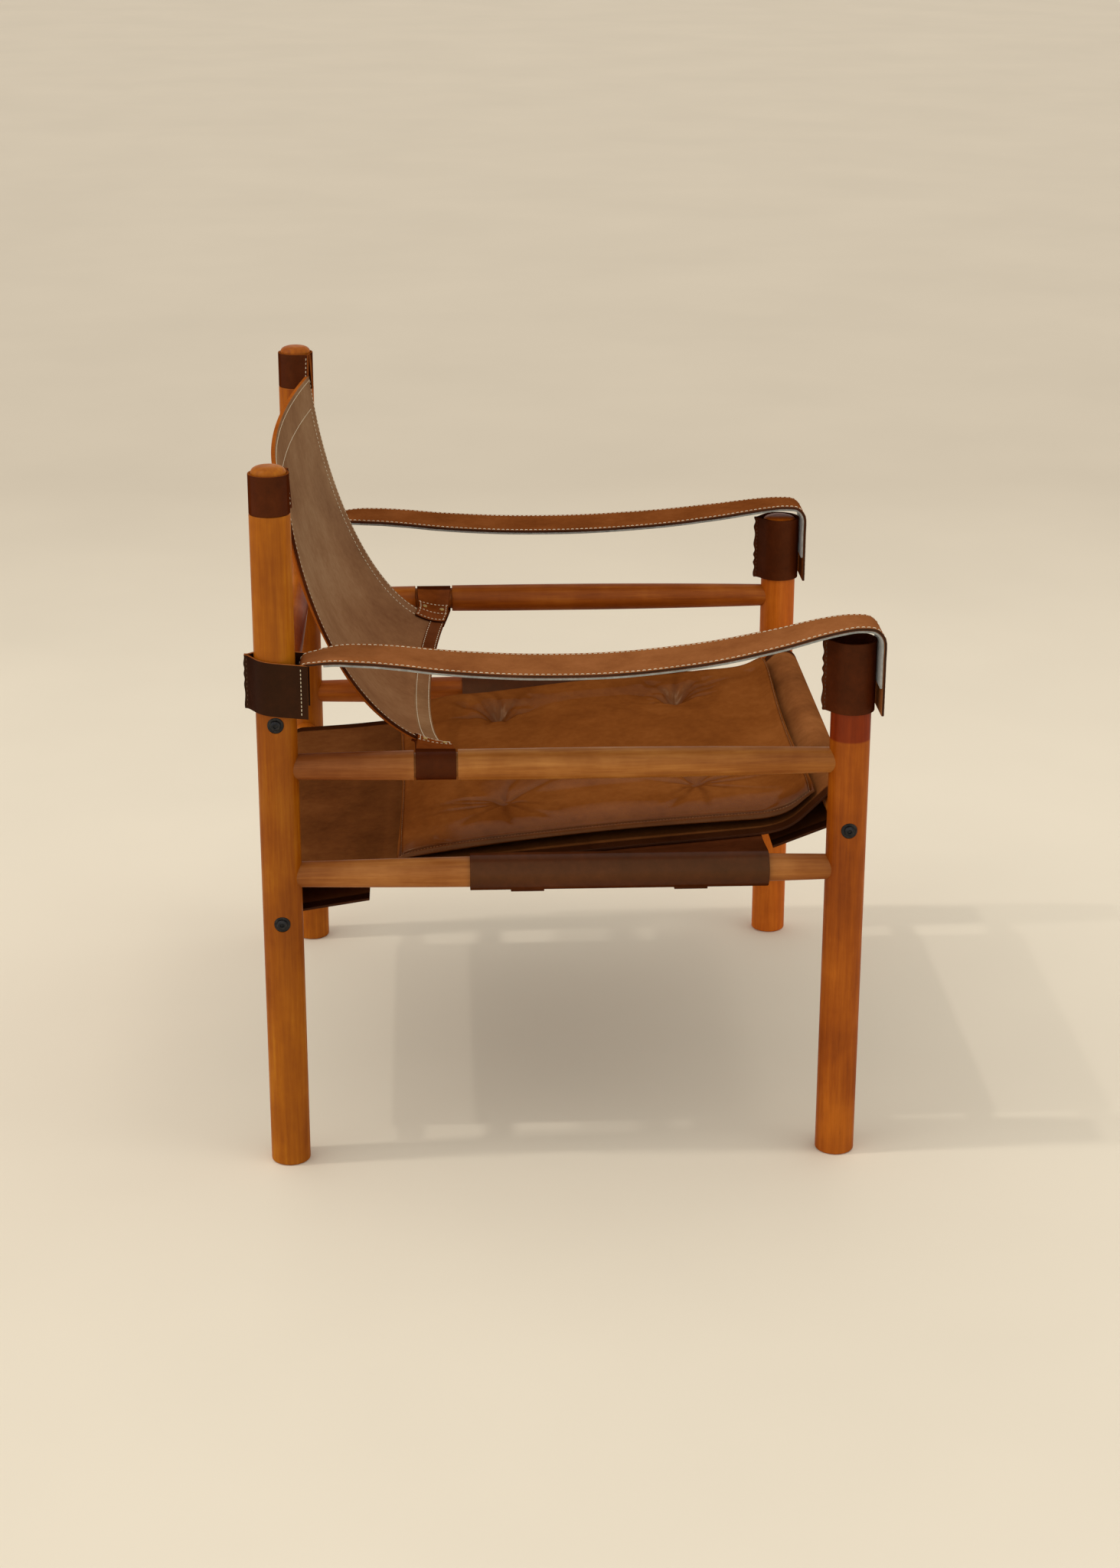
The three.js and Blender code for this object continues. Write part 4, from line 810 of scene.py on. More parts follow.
def eased(route, passes):
    """Rounds a route's corners: each point again and again takes half its own place and a quarter
    of each neighbour's."""
    route = np.array(route)
    for _ in range(passes):
        route[1:-1] = route[1:-1] / 2 + (route[:-2] + route[2:]) / 4
    return route


def pear_route(radius, meet, tip, half_gap):
    """The middle line of a strip round a post, about the post's axis: from its first end, at tip
    along +X and beside the other end, in to where the two part, off to the post along a tangent,
    round it, and back the same way. half_gap is half the distance between the two ends."""
    lean = math.atan2(half_gap, meet) + math.acos(radius / math.hypot(meet, half_gap))
    arc = np.linspace(lean, 2 * np.pi - lean, 160)
    ring = radius * np.stack([np.cos(arc), np.sin(arc)], axis=1)
    start, end = [[tip, half_gap], [meet, half_gap]], [[meet, -half_gap], [tip, -half_gap]]
    return eased(resample(np.concatenate([start, ring, end]), 240), 12)


def strip_round(low, high, thickness, bottom, top, levels):
    """Outer and inner grids of a strip on its edge, whose flat middle line changes from low at its
    bottom to high at its top."""
    share = np.linspace(0, 1, levels)[:, None, None]
    route = low * (1 - share) + high * share
    along = unit(np.gradient(route, axis=1))
    out = np.stack([along[..., 1], -along[..., 0]], axis=-1)
    heights = np.broadcast_to(bottom + (top - bottom) * share, (levels, len(low), 1))
    outer = np.concatenate([route + out * thickness / 2, heights], axis=-1)
    inner = np.concatenate([route - out * thickness / 2, heights], axis=-1)
    return outer, inner


def turned_about(points, angle, centre):
    """Points turned about Z and moved to a place."""
    c, s = math.cos(angle), math.sin(angle)
    matrix = np.array([[c, s, 0], [-s, c, 0], [0, 0, 1]])
    return points @ matrix + centre


strap_edge = leather("cut_edge", (156, 88, 36), (128, 66, 24), (96, 44, 14), 0.7, 0.6, 0.1)
neck_bore = neck_radius + 0.3
neck_band_bottom = back_leg_top - neck_length + 0.3
neck_band_top = back_leg_top - dome_height + 0.3
neck_radius_out = neck_bore + band_thickness / 2
neck_meet, neck_tip = 23.5, 29.5
closed_gap = band_thickness / 2 + 0.1
open_gap = sling_half + border_step + band_thickness / 2
tip_lean = 1.5
corner_angle = 0.68
line_points, line_margin = 30, 3.0
neck_line_inset, neck_stitch_pitch = 3.2, 5.0
for label, side in sides:
    low = pear_route(neck_radius_out, neck_meet, neck_tip, open_gap)
    high = pear_route(neck_radius_out, neck_meet, neck_tip - tip_lean, closed_gap)
    upper, lower = strip_round(low, high, band_thickness, neck_band_bottom, neck_band_top, 16)
    facing = math.atan2(-math.sin(corner_angle), -side * math.cos(corner_angle))
    centre = (side * half_across, half_deep, 0)
    points, quads, kinds = sheet_shell(upper, lower)
    points = turned_about(points, facing, centre)
    materials = [dark_leather, dark_leather, strap_edge]
    band = add_piece(f"neck_band_{label}", points, quads, (), materials, kinds)
    soften(band, 0.5)
    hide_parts(f"back_sling_band_{label}")
    for ply_side, ply_label in ((-1, "rear"), (1, "front")):
        levels = np.linspace(neck_band_bottom + line_margin, neck_band_top - line_margin, line_points)
        share = (levels - neck_band_bottom) / (neck_band_top - neck_band_bottom)
        half_gap = (sling_half + border_step) * (1 - share) + 0.1 * share + band_thickness
        reach = np.full(line_points, neck_tip - neck_line_inset)
        flat = np.stack([reach, ply_side * half_gap, levels], axis=1)
        path = turned_about(flat, facing, centre)
        normal = turned_about(np.tile([0.0, ply_side, 0.0], (line_points, 1)), facing, (0, 0, 0))
        stitches(f"neck_band_stitches_{label}_{ply_label}", path, normal, neck_stitch_pitch, pale_thread)

# Loops in the grooves
# A strip of dark leather round the groove of each upper side rail. Its two ends take the foot
# corner of the back sling between them, sewn with a box of stitches and two rivets.
loop_half = 21.3
loop_bore = rail_radius_at(groove_middle, half_span_deep) - groove_depth + 0.3
loop_radius = loop_bore + band_thickness / 2
loop_tongue_start = 0.84
loop_tongue_share = 0.05
loop_start, loop_end = math.radians(14), math.radians(-196)
loop_rows, loop_columns = 150, 15
centre_column = loop_columns // 2
low_line_share, high_line_share = 0.85, 0.3
rivet_columns = [3, -4]
fine_pitch = 4.6
rivet_radius, rivet_height = 3.0, 1.6
strap_leather = leather("strap_leather", (154, 84, 36), (132, 66, 25), (102, 48, 15), 0.5, 0.8, 0.12)


def surface_normals(points):
    """Unit normals of a grid of points: the cross product of its two directions."""
    return unit(np.cross(np.gradient(points, axis=0), np.gradient(points, axis=1)))


def add_domes(name, centres, normals, radius, height, material):
    """Low domes on a surface: each a turned profile whose axis is the surface's normal there."""
    turn = np.linspace(0, np.pi / 2, 6)
    profile = np.stack([radius * np.cos(turn), height * np.sin(turn)], axis=1)
    profile = np.concatenate([[[0, -0.5], [radius, -0.5]], profile[:-1], [[0, height]]])
    unit_points, quads, tris = turned(profile, 20, 2, (0, 0, 0))
    normals = unit(np.asarray(normals, float))
    aside = unit(np.cross(normals, [0.3, 1.0, 0.2]))
    ahead = np.cross(normals, aside)
    axes = np.stack([aside, ahead, normals], axis=1)
    points = np.asarray(centres, float)[:, None] + np.einsum("pk,nkc->npc", unit_points, axes)
    quads, tris = repeated(quads, tris, len(normals), len(unit_points))
    sharpen(add_piece(name, points, quads, tris, [material]), 50)


for label, side in sides:
    w = np.linspace(0, 1, loop_columns)
    v = 1 + (loop_tongue_start - 1) * w
    y = groove_middle + loop_half * (2 * w - 1)
    edge_u = np.full_like(v, (1 + side) / 2)
    inner_u = edge_u - side * loop_tongue_share
    behind = -(sling_half + 0.2 + band_thickness / 2)
    places = ((inner_u, open_gap), (edge_u, open_gap), (edge_u, behind), (inner_u, behind))
    ends = [back_point(u, v, np.full_like(v, out))[0] for u, out in places]
    angle = np.linspace(loop_start, loop_end, 60)[:, None] + 0 * y
    rail_x = side * half_across
    ring_x = rail_x - side * loop_radius * np.sin(angle)
    ring_z = upper_rail_level + loop_radius * np.cos(angle)
    rows = np.concatenate([ends[:2], np.stack([ring_x, 0 * angle + y, ring_z], axis=-1), ends[2:]])
    middle = np.stack([resample(rows[:, k], loop_rows) for k in range(loop_columns)], axis=1)
    middle = eased(middle, 10)
    normal = surface_normals(middle)
    half_ply = normal * band_thickness / 2
    points, quads, kinds = sheet_shell(middle + half_ply, middle - half_ply)
    from_rail = points[quads].mean(axis=1) - [rail_x, 0, upper_rail_level]
    in_strap = (np.hypot(from_rail[:, 0], from_rail[:, 2]) > loop_radius + 3) & (kinds < 2)
    kinds = np.where(in_strap, 3, kinds)
    materials = [dark_leather, dark_leather, sling_edge, strap_leather]
    loop = add_piece(f"rail_loop_{label}", points, quads, (), materials, kinds)
    soften(loop, 0.5)
    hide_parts(f"back_sling_loop_{label}")
    upward = normal * np.sign(normal[..., 2:])
    top = middle + upward * band_thickness / 2
    half_rows = top[: loop_rows // 2, centre_column]
    inner_end, edge_end, rail_end = (rows[k, centre_column] for k in range(3))
    low_end = edge_end + (inner_end - edge_end) * low_line_share
    high_end = edge_end + (rail_end - edge_end) * high_line_share
    low_row, edge_row, high_row = (
        int(np.argmin(np.linalg.norm(half_rows - end, axis=1))) for end in (low_end, edge_end, high_end)
    )
    rivet_row = (edge_row + high_row) // 2
    under_rivets = (rivet_row, rivet_columns)
    add_domes(f"rivets_{label}", top[under_rivets], upward[under_rivets], rivet_radius, rivet_height, brass)
    for row_label, row in (("low", low_row), ("edge", edge_row), ("high", high_row)):
        stitches(f"loop_stitches_{label}_{row_label}", top[row], upward[row], fine_pitch, pale_thread)
    for column in (1, -2):
        part = slice(low_row, high_row + 1)
        name = f"loop_stitches_{label}_{'front' if column > 0 else 'rear'}"
        stitches(name, top[part, column], upward[part, column], fine_pitch, pale_thread)

# Arm bands and sleeves
# Tubes of dark leather with their two edges sewn in a seam that stands out to the rear. The bands
# sit on the upper cross rail's ends, and the sleeves are pulled down over the front legs.
arm_band_bore = leg_radius + 0.8
sleeve_bore = leg_radius + 0.5
arm_band_bottom = 525.0
arm_band_height = 58.0
sleeve_height = 78.0
sleeve_tops = {"left": 564.0, "right": 596.0}
seam_length = 6.8
seam_meet, seam_start = 4.5, 3.0
seam_points, seam_line_inset = 56, 2.8


def add_sheet(name, upper, lower, materials, rounding, segments=2):
    """A closed sheet between two grids, with its rims rounded. Its materials are those of its upper
    face, its lower face and its rims."""
    points, quads, kinds = sheet_shell(upper, lower)
    sheet = add_piece(name, points, quads, (), materials, kinds)
    soften(sheet, rounding, segments)
    return sheet


def scallop(grid, start, wave):
    """Waves along a seam that stands out beyond start: it grows and shrinks by a share of its
    reach as a sine of the height, and bends aside as a slower one."""
    reach = np.maximum(grid[..., 0] - start, 0)
    height = grid[..., 2].copy()
    grid[..., 0] += reach * wave * np.sin(height / 2.4 + 1.6 * np.sin(height / 9))
    grid[..., 1] += reach * wave * np.sin(height / 6.3)


def seam_stitches(name, bore, bottom, top, centre, wave, tilt=0.0):
    """A row of thread on each side of a tube's seam along +Y."""
    levels = np.linspace(bottom + 2, top - 2, seam_points)
    reach = np.full(seam_points, bore + band_thickness + seam_length - seam_line_inset)
    for ply_side, ply_label in ((-1, "outer"), (1, "inner")):
        aside = np.full(seam_points, ply_side * (band_thickness + 0.15))
        flat = np.stack([reach, aside, levels], axis=1)
        scallop(flat, bore + band_thickness / 2 + seam_start, wave)
        path = turned_about(flat, math.pi / 2, centre)
        path[:, 2] += (path[:, 1] - centre[1]) * tilt
        straight = np.tile([0.0, ply_side, 0.0], (seam_points, 1))
        normal = turned_about(straight, math.pi / 2, (0, 0, 0))
        stitches(f"{name}_stitches_{ply_label}", path, normal, fine_pitch, dark_thread)


rear_leather = leather("rear_band_leather", (58, 26, 12), (43, 18, 8), (32, 12, 5), 0.42, 0.8, 0.16)
front_reach, front_gap = 35.0, 23.4
cheek_line_inset, cheek_pitch = 7.0, 4.2
sleeve_wave, band_wave, band_tilt = 0.16, 0.08, 0.1
for label, side in sides:
    centre = (side * half_across, half_deep, 0)
    band_top = arm_band_bottom + arm_band_height
    radius = arm_band_bore + band_thickness / 2
    seam_tip = arm_band_bore + band_thickness + seam_length
    whole = pear_route(radius, radius + seam_meet, seam_tip, closed_gap)
    half = whole[: len(whole) // 2]
    half = half[half[:, 0] > 0]
    half = np.concatenate([half, [[-front_reach, front_gap]]])
    half = eased(resample(half, 130), 8)
    parts, part_quads, part_kinds, count = [], [], [], 0
    for mirror_side in (1, -1):
        route = half * [1, mirror_side]
        grids = strip_round(route, route, band_thickness, arm_band_bottom, band_top, 56)
        for grid in grids:
            scallop(grid, radius + seam_start, band_wave)
            grid[:] = turned_about(grid, math.pi / 2, centre)
            grid[..., 2] += (grid[..., 1] - centre[1]) * band_tilt
            inward = (grid[..., 0] - centre[0]) * centre[0] < 0
            away = grid[..., 1] - centre[1]
            clear = back_upper_level + np.sqrt(np.maximum((rail_end_radius + 0.6) ** 2 - away**2, 0))
            grid[..., 2] = np.where(inward, np.maximum(grid[..., 2], clear), grid[..., 2])
        points, quads, kinds = sheet_shell(*grids)
        parts.append(points)
        part_quads.append(quads[:, :: mirror_side] + count)
        part_kinds.append(kinds)
        count += len(points)
    points, quads = np.concatenate(parts), np.concatenate(part_quads)
    materials = [rear_leather, rear_leather, raw_edge]
    name = f"rear_band_{label}"
    band = add_piece(name, points, quads, (), materials, np.concatenate(part_kinds))
    soften(band, 0.5)
    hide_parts(f"arm_band_{label}")
    seam_stitches(name, arm_band_bore, arm_band_bottom, band_top, centre, band_wave, band_tilt)
    levels = np.linspace(arm_band_bottom + line_margin, band_top - line_margin, line_points)
    for cheek in (-1, 1):
        cheek_x = side * half_across + cheek * (front_gap + 0.2 + band_thickness / 2)
        cheek_y = half_deep - front_reach + cheek_line_inset
        tilted = levels + (cheek_y - half_deep) * band_tilt
        path = np.stack([np.full(line_points, cheek_x), np.full(line_points, cheek_y), tilted], axis=1)
        normal = np.tile([float(cheek), 0.0, 0.0], (line_points, 1))
        name = f"rear_band_front_stitches_{label}_{'left' if cheek > 0 else 'right'}"
        stitches(name, path, normal, cheek_pitch, pale_thread, radius=0.45)
    top = sleeve_tops[label]
    bottom = top - sleeve_height
    centre = (side * half_across, -half_deep, 0)
    radius = sleeve_bore + band_thickness / 2
    seam_tip = sleeve_bore + band_thickness + seam_length
    route = pear_route(radius, radius + seam_meet, seam_tip, closed_gap)
    grids = strip_round(route, route, band_thickness, bottom, top, 64)
    for grid in grids:
        scallop(grid, radius + seam_start, sleeve_wave)
        grid[:] = turned_about(grid, math.pi / 2, centre)
    materials = [dark_leather, dark_leather, sling_edge]
    sleeve = add_sheet(f"front_sleeve_{label}", *grids, materials, 0.5)
    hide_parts(f"arm_sleeve_{label}")
    seam_stitches(f"front_sleeve_{label}", sleeve_bore, bottom, top, centre, sleeve_wave)


# Arm straps and liners
# Each arm is a long strap of tan leather with a grey felt below it, sewn together along both
# edges. It hangs from the rear band and bends down over the front sleeve.
def smooth_at(points, where):
    """A centripetal Catmull-Rom curve through points, at places counted in points along it."""
    points = np.asarray(points, float)
    before = 2 * points[0] - points[1]
    after = 2 * points[-1] - points[-2]
    padded = np.concatenate([[before], points, [after]])
    i = np.minimum(where.astype(int), len(points) - 2)
    t = (where - i)[:, None]
    p0, p1, p2, p3 = (padded[i + k] for k in range(4))
    spans = (p1 - p0, p2 - p1, p3 - p2)
    d0, d1, d2 = (np.sqrt(np.linalg.norm(span, axis=1))[:, None] for span in spans)
    m1 = ((p1 - p0) / d0 - (p2 - p0) / (d0 + d1) + (p2 - p1) / d1) * d1
    m2 = ((p2 - p1) / d1 - (p3 - p1) / (d1 + d2) + (p3 - p2) / d2) * d1
    return p1 + m1 * t + (3 * p2 - 3 * p1 - 2 * m1 - m2) * t**2 + (2 * p1 - 2 * p2 + m1 + m2) * t**3


def left_normals(route):
    """The unit normals on the left of a flat route."""
    along = unit(np.gradient(route, axis=0))
    return np.stack([-along[:, 1], along[:, 0]], axis=1)


def smooth_route(points, steps):
    """A smooth curve through points, as many steps along it."""
    return smooth_at(points, np.linspace(0, len(points) - 1, steps + 1))


arm_outset = 1.0
arm_rear_play, arm_front_play = 0.3, 0.6
arm_leather_thickness = 3.0
liner_thickness = 2.4
arm_width_middle, arm_width_end = 78.0, 54.0
arm_crest_radius = 19.0
arm_bend_radius = 13.0
arm_rear_flap = 59.0
arm_rear_rise = {"right": 3.0, "left": -12.0}
arm_sag = {"right": 16.0, "left": 13.5}
arm_rear_bend_shares = [(0, 2), (0, 1.2), (0.3, 0.5)]
arm_rear_shares = [
    (0.86, 0.81), (0.786, 1), (0.69, 0.94), (0.56, 0.72), (0.44, 0.44), (0.286, 0.19), (0.102, 0.03),
]
arm_front_shares = [(0.16, 0.03), (0.4, 0.18), (0.56, 0.34), (0.73, 0.59), (0.87, 0.85), (0.95, 0.96)]
arm_front_bend = np.array([0.35, 0.7, 1.05, 1.4])


def arm_route(label):
    """The top of the strap in depth and height: up from its rear flap, sagging between the legs,
    over a crest and down in front of the sleeve."""
    rear_face = half_deep - arm_band_bore - band_thickness - arm_rear_play
    front_face = -half_deep - sleeve_bore - band_thickness - arm_leather_thickness
    front_face = front_face - liner_thickness - arm_front_play
    rear = arm_band_bottom + arm_band_height + arm_rear_rise[label]
    crest = sleeve_tops[label] + arm_crest_radius
    low = rear - arm_sag[label]
    route = [(rear_face, rear - arm_rear_flap)]
    for ahead, down in arm_rear_bend_shares:
        route.append((rear_face - ahead * arm_bend_radius, rear - down * arm_bend_radius))
    route += [(a * half_deep, low + u * (rear - low)) for a, u in arm_rear_shares]
    route += [(-a * half_deep, low + u * (crest - low)) for a, u in arm_front_shares]
    route.append((-half_deep, crest))
    across = front_face + arm_crest_radius * (1 - np.sin(arm_front_bend))
    up = crest - arm_crest_radius * (1 - np.cos(arm_front_bend))
    route += list(zip(across, up))
    route.append((front_face, sleeve_tops[label] - sleeve_height / 4))
    route.append((front_face, sleeve_tops[label] - sleeve_height))
    return resample(smooth_route(route, 600), 400)


def arm_width_at(y):
    """Wide between the legs and narrower at both ends."""
    share = np.minimum(np.abs(y) / half_deep, 1)
    return arm_width_middle - (arm_width_middle - arm_width_end) * share**3


def strap_grid(route, offset, half_width, x, droop, columns=21):
    """A grid of a strap at an offset above its route: across its width it droops by the square of
    the distance from its middle."""
    share = np.linspace(-1, 1, columns)
    normal = left_normals(route)
    grid = np.zeros((len(route), columns, 3))
    grid[:, :, 0] = x + half_width[:, None] * share
    fall = offset - droop[:, None] * share**2
    grid[:, :, 1] = route[:, :1] + normal[:, :1] * fall
    grid[:, :, 2] = route[:, 1:] + normal[:, 1:] * fall
    return grid


arm_finish = (0.46, 0.8, 0.14, 14.0)
arm_leather = leather("arm_leather", (157, 98, 56), (142, 86, 46), (124, 71, 36), *arm_finish)
far_arm_leather = leather("far_arm_leather", (136, 78, 38), (120, 65, 28), (102, 52, 20), *arm_finish)
arm_edge = leather("arm_edge", (78, 38, 20), (56, 26, 14), (38, 18, 10), 0.5)
felt, felt_tree, felt_shader = new_material("arm_felt")
felt_place = add_node(felt_tree, "TexCoord").outputs["Object"]
felt_fuzz = noise(felt_tree, felt_place, 900.0, 6.0, 0.8)
felt_mottle = noise(felt_tree, felt_place, 140.0, 4.0, 0.7)
felt_share = remap(felt_tree, felt_mottle, 0.3, 0.7)
felt_colour = blend_colours(felt_tree, felt_share, srgb(124, 125, 119), srgb(164, 163, 156))
felt_tree.links.new(felt_colour, felt_shader.inputs["Base Color"])
felt_shader.inputs["Roughness"].default_value = 0.95
felt_shader.inputs["Sheen Weight"].default_value = 0.4
emboss(felt_tree, felt_shader, felt_fuzz, 0.6, 0.0006)

liner_start, liner_end = 0.1, 0.96
flap_half_width, flap_draw_start, flap_draw_run = 21.5, 222.0, 52.0
droop_depth, droop_inset, droop_run = 1.2, 45.0, 60.0
liner_gap, liner_inset = 0.1, 0.3
arm_edge_inset = 3.8
arm_stitch_pitch = 5.8
for label, side in sides:
    route = arm_route(label)
    x = side * (half_across + arm_outset)
    half_width = arm_width_at(route[:, 0]) / 2
    drawn = np.clip((route[:, 0] - flap_draw_start) / flap_draw_run, 0, 1)
    half_width = half_width + (flap_half_width - half_width) * drawn**1.5
    on_top = np.clip((half_deep - droop_inset - np.abs(route[:, 0])) / droop_run, 0, 1)
    droop = droop_depth * on_top
    outer = strap_grid(route, 0.0, half_width, x, droop)
    normal = left_normals(route)
    inner = strap_grid(route, arm_leather_thickness, half_width, x, droop)
    hide = arm_leather if label == "right" else far_arm_leather
    strap = add_sheet(f"arm_{label}", outer, inner, [hide, hide, arm_edge], 0.8, 3)
    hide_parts(f"arm_strap_{label}")
    kept = slice(int(len(route) * liner_start), int(len(route) * liner_end))
    felt_offset, felt_half_width = arm_leather_thickness + liner_gap, half_width - liner_inset
    felt_top = strap_grid(route, felt_offset, felt_half_width, x, droop)[kept]
    felt_bottom = strap_grid(route, felt_offset + liner_thickness, felt_half_width, x, droop)[kept]
    points, quads, _ = sheet_shell(felt_top, felt_bottom)
    liner = add_piece(f"arm_felt_{label}", points, quads, (), [felt])
    soften(liner, 0.7, 2)
    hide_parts(f"arm_liner_{label}")
    fall = -droop * (1 - arm_edge_inset / half_width) ** 2
    on_strap = route + normal * fall[:, None]
    outward = np.stack([np.zeros(len(route)), -normal[:, 0], -normal[:, 1]], axis=1)
    for edge in (-1, 1):
        path = np.stack([x + edge * (half_width - arm_edge_inset), *on_strap.T], axis=1)
        name = f"arm_stitches_{label}_{'outer' if edge * side > 0 else 'inner'}"
        stitches(name, path[3:-3], outward[3:-3], arm_stitch_pitch, pale_thread,
                 length_share=0.76, radius=0.6)

# Seat sling
# One wide hide round the front rail and the lower back rail. It dips in front where the sitter's
# weight has stretched it, and its two ends are belted together underneath.
sling_thickness = 2.8
wrap_radius = rail_radius + 0.4
seat_half = 262.0
seat_dip = 37.0
seat_dip_shares = [
    (0.053, 0.53), (0.074, 0.79), (0.094, 0.93), (0.125, 1), (0.187, 0.95),
    (0.388, 0.7), (0.668, 0.4), (0.818, 0.25), (0.9, 0.16),
]
seat_leave, seat_arrive = 0.75, 0.09
seat_flaps = [(0.37, 84.0), (0.155, 90.0)]
flap_steps, wrap_steps, seat_steps = 23, 40, 160
seat_columns = 60


def travel_at(angle):
    """The direction of a route at an angle round a rail."""
    return np.array([math.cos(angle), -math.sin(angle)])


def wrap_route(rails, flaps, leave, arrive, between):
    """A route from the end of one flap, round a rail, over to another, round it and along the
    second flap. It follows the face that touches the rails."""
    first_angle = flaps[0][0] - math.pi
    second_angle = math.pi + flaps[1][0]

    def arc(centre, start, end):
        angle = np.linspace(start, end, wrap_steps + 1)
        return centre + wrap_radius * np.stack([np.sin(angle), np.cos(angle)], axis=1)

    first = arc(rails[0], first_angle, leave)
    second = arc(rails[1], arrive, second_angle)
    start = first[0] - travel_at(first_angle) * flaps[0][1]
    end = second[-1] + travel_at(second_angle) * flaps[1][1]
    share = np.linspace(0, 1, flap_steps + 1)[:, None]
    start_run = start + (first[0] - start) * share[:-1]
    end_run = second[-1] + (end - second[-1]) * share[1:]
    return np.concatenate([start_run, first, between(first[-1], second[0]), second, end_run])


front_rail = np.array([-half_deep, front_rail_level])
back_rail = np.array([half_deep, back_lower_level])


def seat_between(leave, arrive):
    """Points from rail to rail: the line over the rails less the dip at each share."""
    points = [leave]
    for along, dip in seat_dip_shares:
        chord = front_rail + (back_rail - front_rail) * along
        points.append(chord + [0, wrap_radius - seat_dip * dip])
    points.append(arrive)
    return smooth_route(points, seat_steps)[1:-1]


seat_route = wrap_route([front_rail, back_rail], seat_flaps, seat_leave, seat_arrive, seat_between)
seat_leather = leather("seat_leather", (125, 76, 38), (106, 61, 28), (83, 46, 20), 0.44, 0.8, 0.14)
# Painted highlight: the seat sling is lighter and greyer where it rounds the front rail.
tint(seat_leather, 1, -0.25, -0.3, (1.55, 1.6, 1.75, 1.0))
# Painted shade: the seat sling's two side borders, out beyond the cushion's seam, are nearly black.
for border in (1, -1):
    tint(seat_leather, 0, border * 0.243, border * 0.247, (0.24, 0.2, 0.24, 1.0))
hidden_edge = leather("strap_edge", (84, 42, 20), (60, 28, 14), (42, 20, 11), 0.6)


def flat_grid(route, offset, half_width, columns):
    """A sheet's grid along X at an offset on the left of its route in depth and height."""
    moved = route + left_normals(route) * offset
    grid = np.zeros((len(route), columns, 3))
    grid[:, :, 0] = np.linspace(-half_width, half_width, columns)
    grid[:, :, 1] = moved[:, :1]
    grid[:, :, 2] = moved[:, 1:]
    return grid


upper = flat_grid(seat_route, sling_thickness, seat_half, seat_columns)
lower = flat_grid(seat_route, 0.0, seat_half, seat_columns)
materials = [seat_leather, seat_leather, hidden_edge]
seat_sling = add_sheet("seat_sling_hide", upper, lower, materials, 0.6)
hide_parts("seat_sling")

# Side sling
# A second hide across the chair, round the two lower side rails. The seat sling presses it down,
# so it falls from the rails in two shoulders and runs just under the seat.
side_front, side_back = -220.0, 102.0
side_flap = (0.08, 75.0)
side_leave_share = 1.07
contact_gap = 0.8
run_start = flap_steps + wrap_steps + 1
over_seat = slice(run_start, run_start + seat_steps)
seat_span = seat_route[over_seat]
seat_upper_span = (seat_route + left_normals(seat_route) * sling_thickness)[over_seat]


def side_route(y):
    """The side sling's route across the chair at a depth: rails, shoulders and the level stretch
    under the seat sling."""
    level = np.interp(y, seat_span[:, 0], seat_span[:, 1]) - contact_gap - sling_thickness
    drop = lower_rail_level + wrap_radius - level
    leave_angle = side_leave_share * drop / (half_across - seat_half)

    def shoulder(start, side):
        foot = np.array([side * seat_half, level])
        handle = abs(foot[0] - start[0]) / 3
        slope = travel_at(leave_angle)
        from_handle = np.array([start[0] - side * handle * slope[0], start[1] + handle * slope[1]])
        foot_handle = np.array([foot[0] + side * handle, level])
        return bezier([start, from_handle, foot_handle, foot], np.linspace(0, 1, 16))

    def between(leave, arrive):
        first, second = shoulder(leave, -1), shoulder(arrive, 1)[::-1]
        straight = first[-1] + (second[0] - first[-1]) * np.linspace(0, 1, 30)[1:-1, None]
        return np.concatenate([first[1:], straight, second[:-1]])

    rails = [np.array([-half_across, lower_rail_level]), np.array([half_across, lower_rail_level])]
    flaps = [side_flap, (-side_flap[0], side_flap[1])]
    return wrap_route(rails, flaps, leave_angle, -leave_angle, between)


side_depths = np.linspace(side_front, side_back, 24)
side_routes = np.array([side_route(y) for y in side_depths])
side_offsets = np.array([route + left_normals(route) * sling_thickness for route in side_routes])


def side_grid(routes):
    """Routes at each depth as a grid in space."""
    grid = np.zeros((len(side_depths), routes.shape[1], 3))
    grid[:, :, 0] = routes[:, :, 0]
    grid[:, :, 1] = side_depths[:, None]
    grid[:, :, 2] = routes[:, :, 1]
    return grid


side_leather = leather("side_leather", (90, 46, 22), (73, 35, 15), (55, 26, 10), 0.34, 0.4, 0.34)
materials = [side_leather, side_leather, hidden_edge]
upper, lower = side_grid(side_offsets), side_grid(side_routes)
side_sling = add_sheet("side_sling_hide", upper, lower, materials, 0.6)
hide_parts("side_sling")

# Belts, buckles and prongs
# Under the seat, two belts draw each sling's ends together. The seat sling's belts are woven over
# and under the side sling's. Each buckle is a loop of brass wire with a prong on its heel bar.
for kind, material in (("_belt_", dark_leather), ("_buckle_", brass), ("_prong_", brass)):
    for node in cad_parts.values():
        if kind in node.name:
            keep_solid(node, material)

# Cushion
# Two faces of glossy chestnut leather sewn together in a narrow welt and drawn in by four tufts,
# its right side sat out thinner. It lies loose on the seat sling, and so rides on a body of its own.
cushion_width = 490.0
cushion_depth = 464.0
cushion_middle = -49.0
cushion_thickness = 40.0
left_side_extra, left_roll_extra = 8.0, 18.0
seam_front, seam_corner, seam_side = 9.0, 6.0, 11.0
corner_drop = 3.0
draw_in = 6.0
corner_round = 1.5
lift_under = 0.8
tuft_across, tuft_deep = 141.0, 107.0
tuft_height = 20.0
tuft_dips = ((0.6, 52.0), (0.4, 15.0))
valley_depth, valley_width = 4.0, 24.0
panel_cut_width, panel_cut_depth = 503.0, 478.0
cloth_settings = {
    "quality": 8,
    "mass": 0.25,
    "air_damping": 4.0,
    "tension_stiffness": 40.0,
    "compression_stiffness": 25.0,
    "shear_stiffness": 12.0,
    "bending_stiffness": 1.2,
    "use_pressure": True,
    "uniform_pressure_force": 2.0,
}
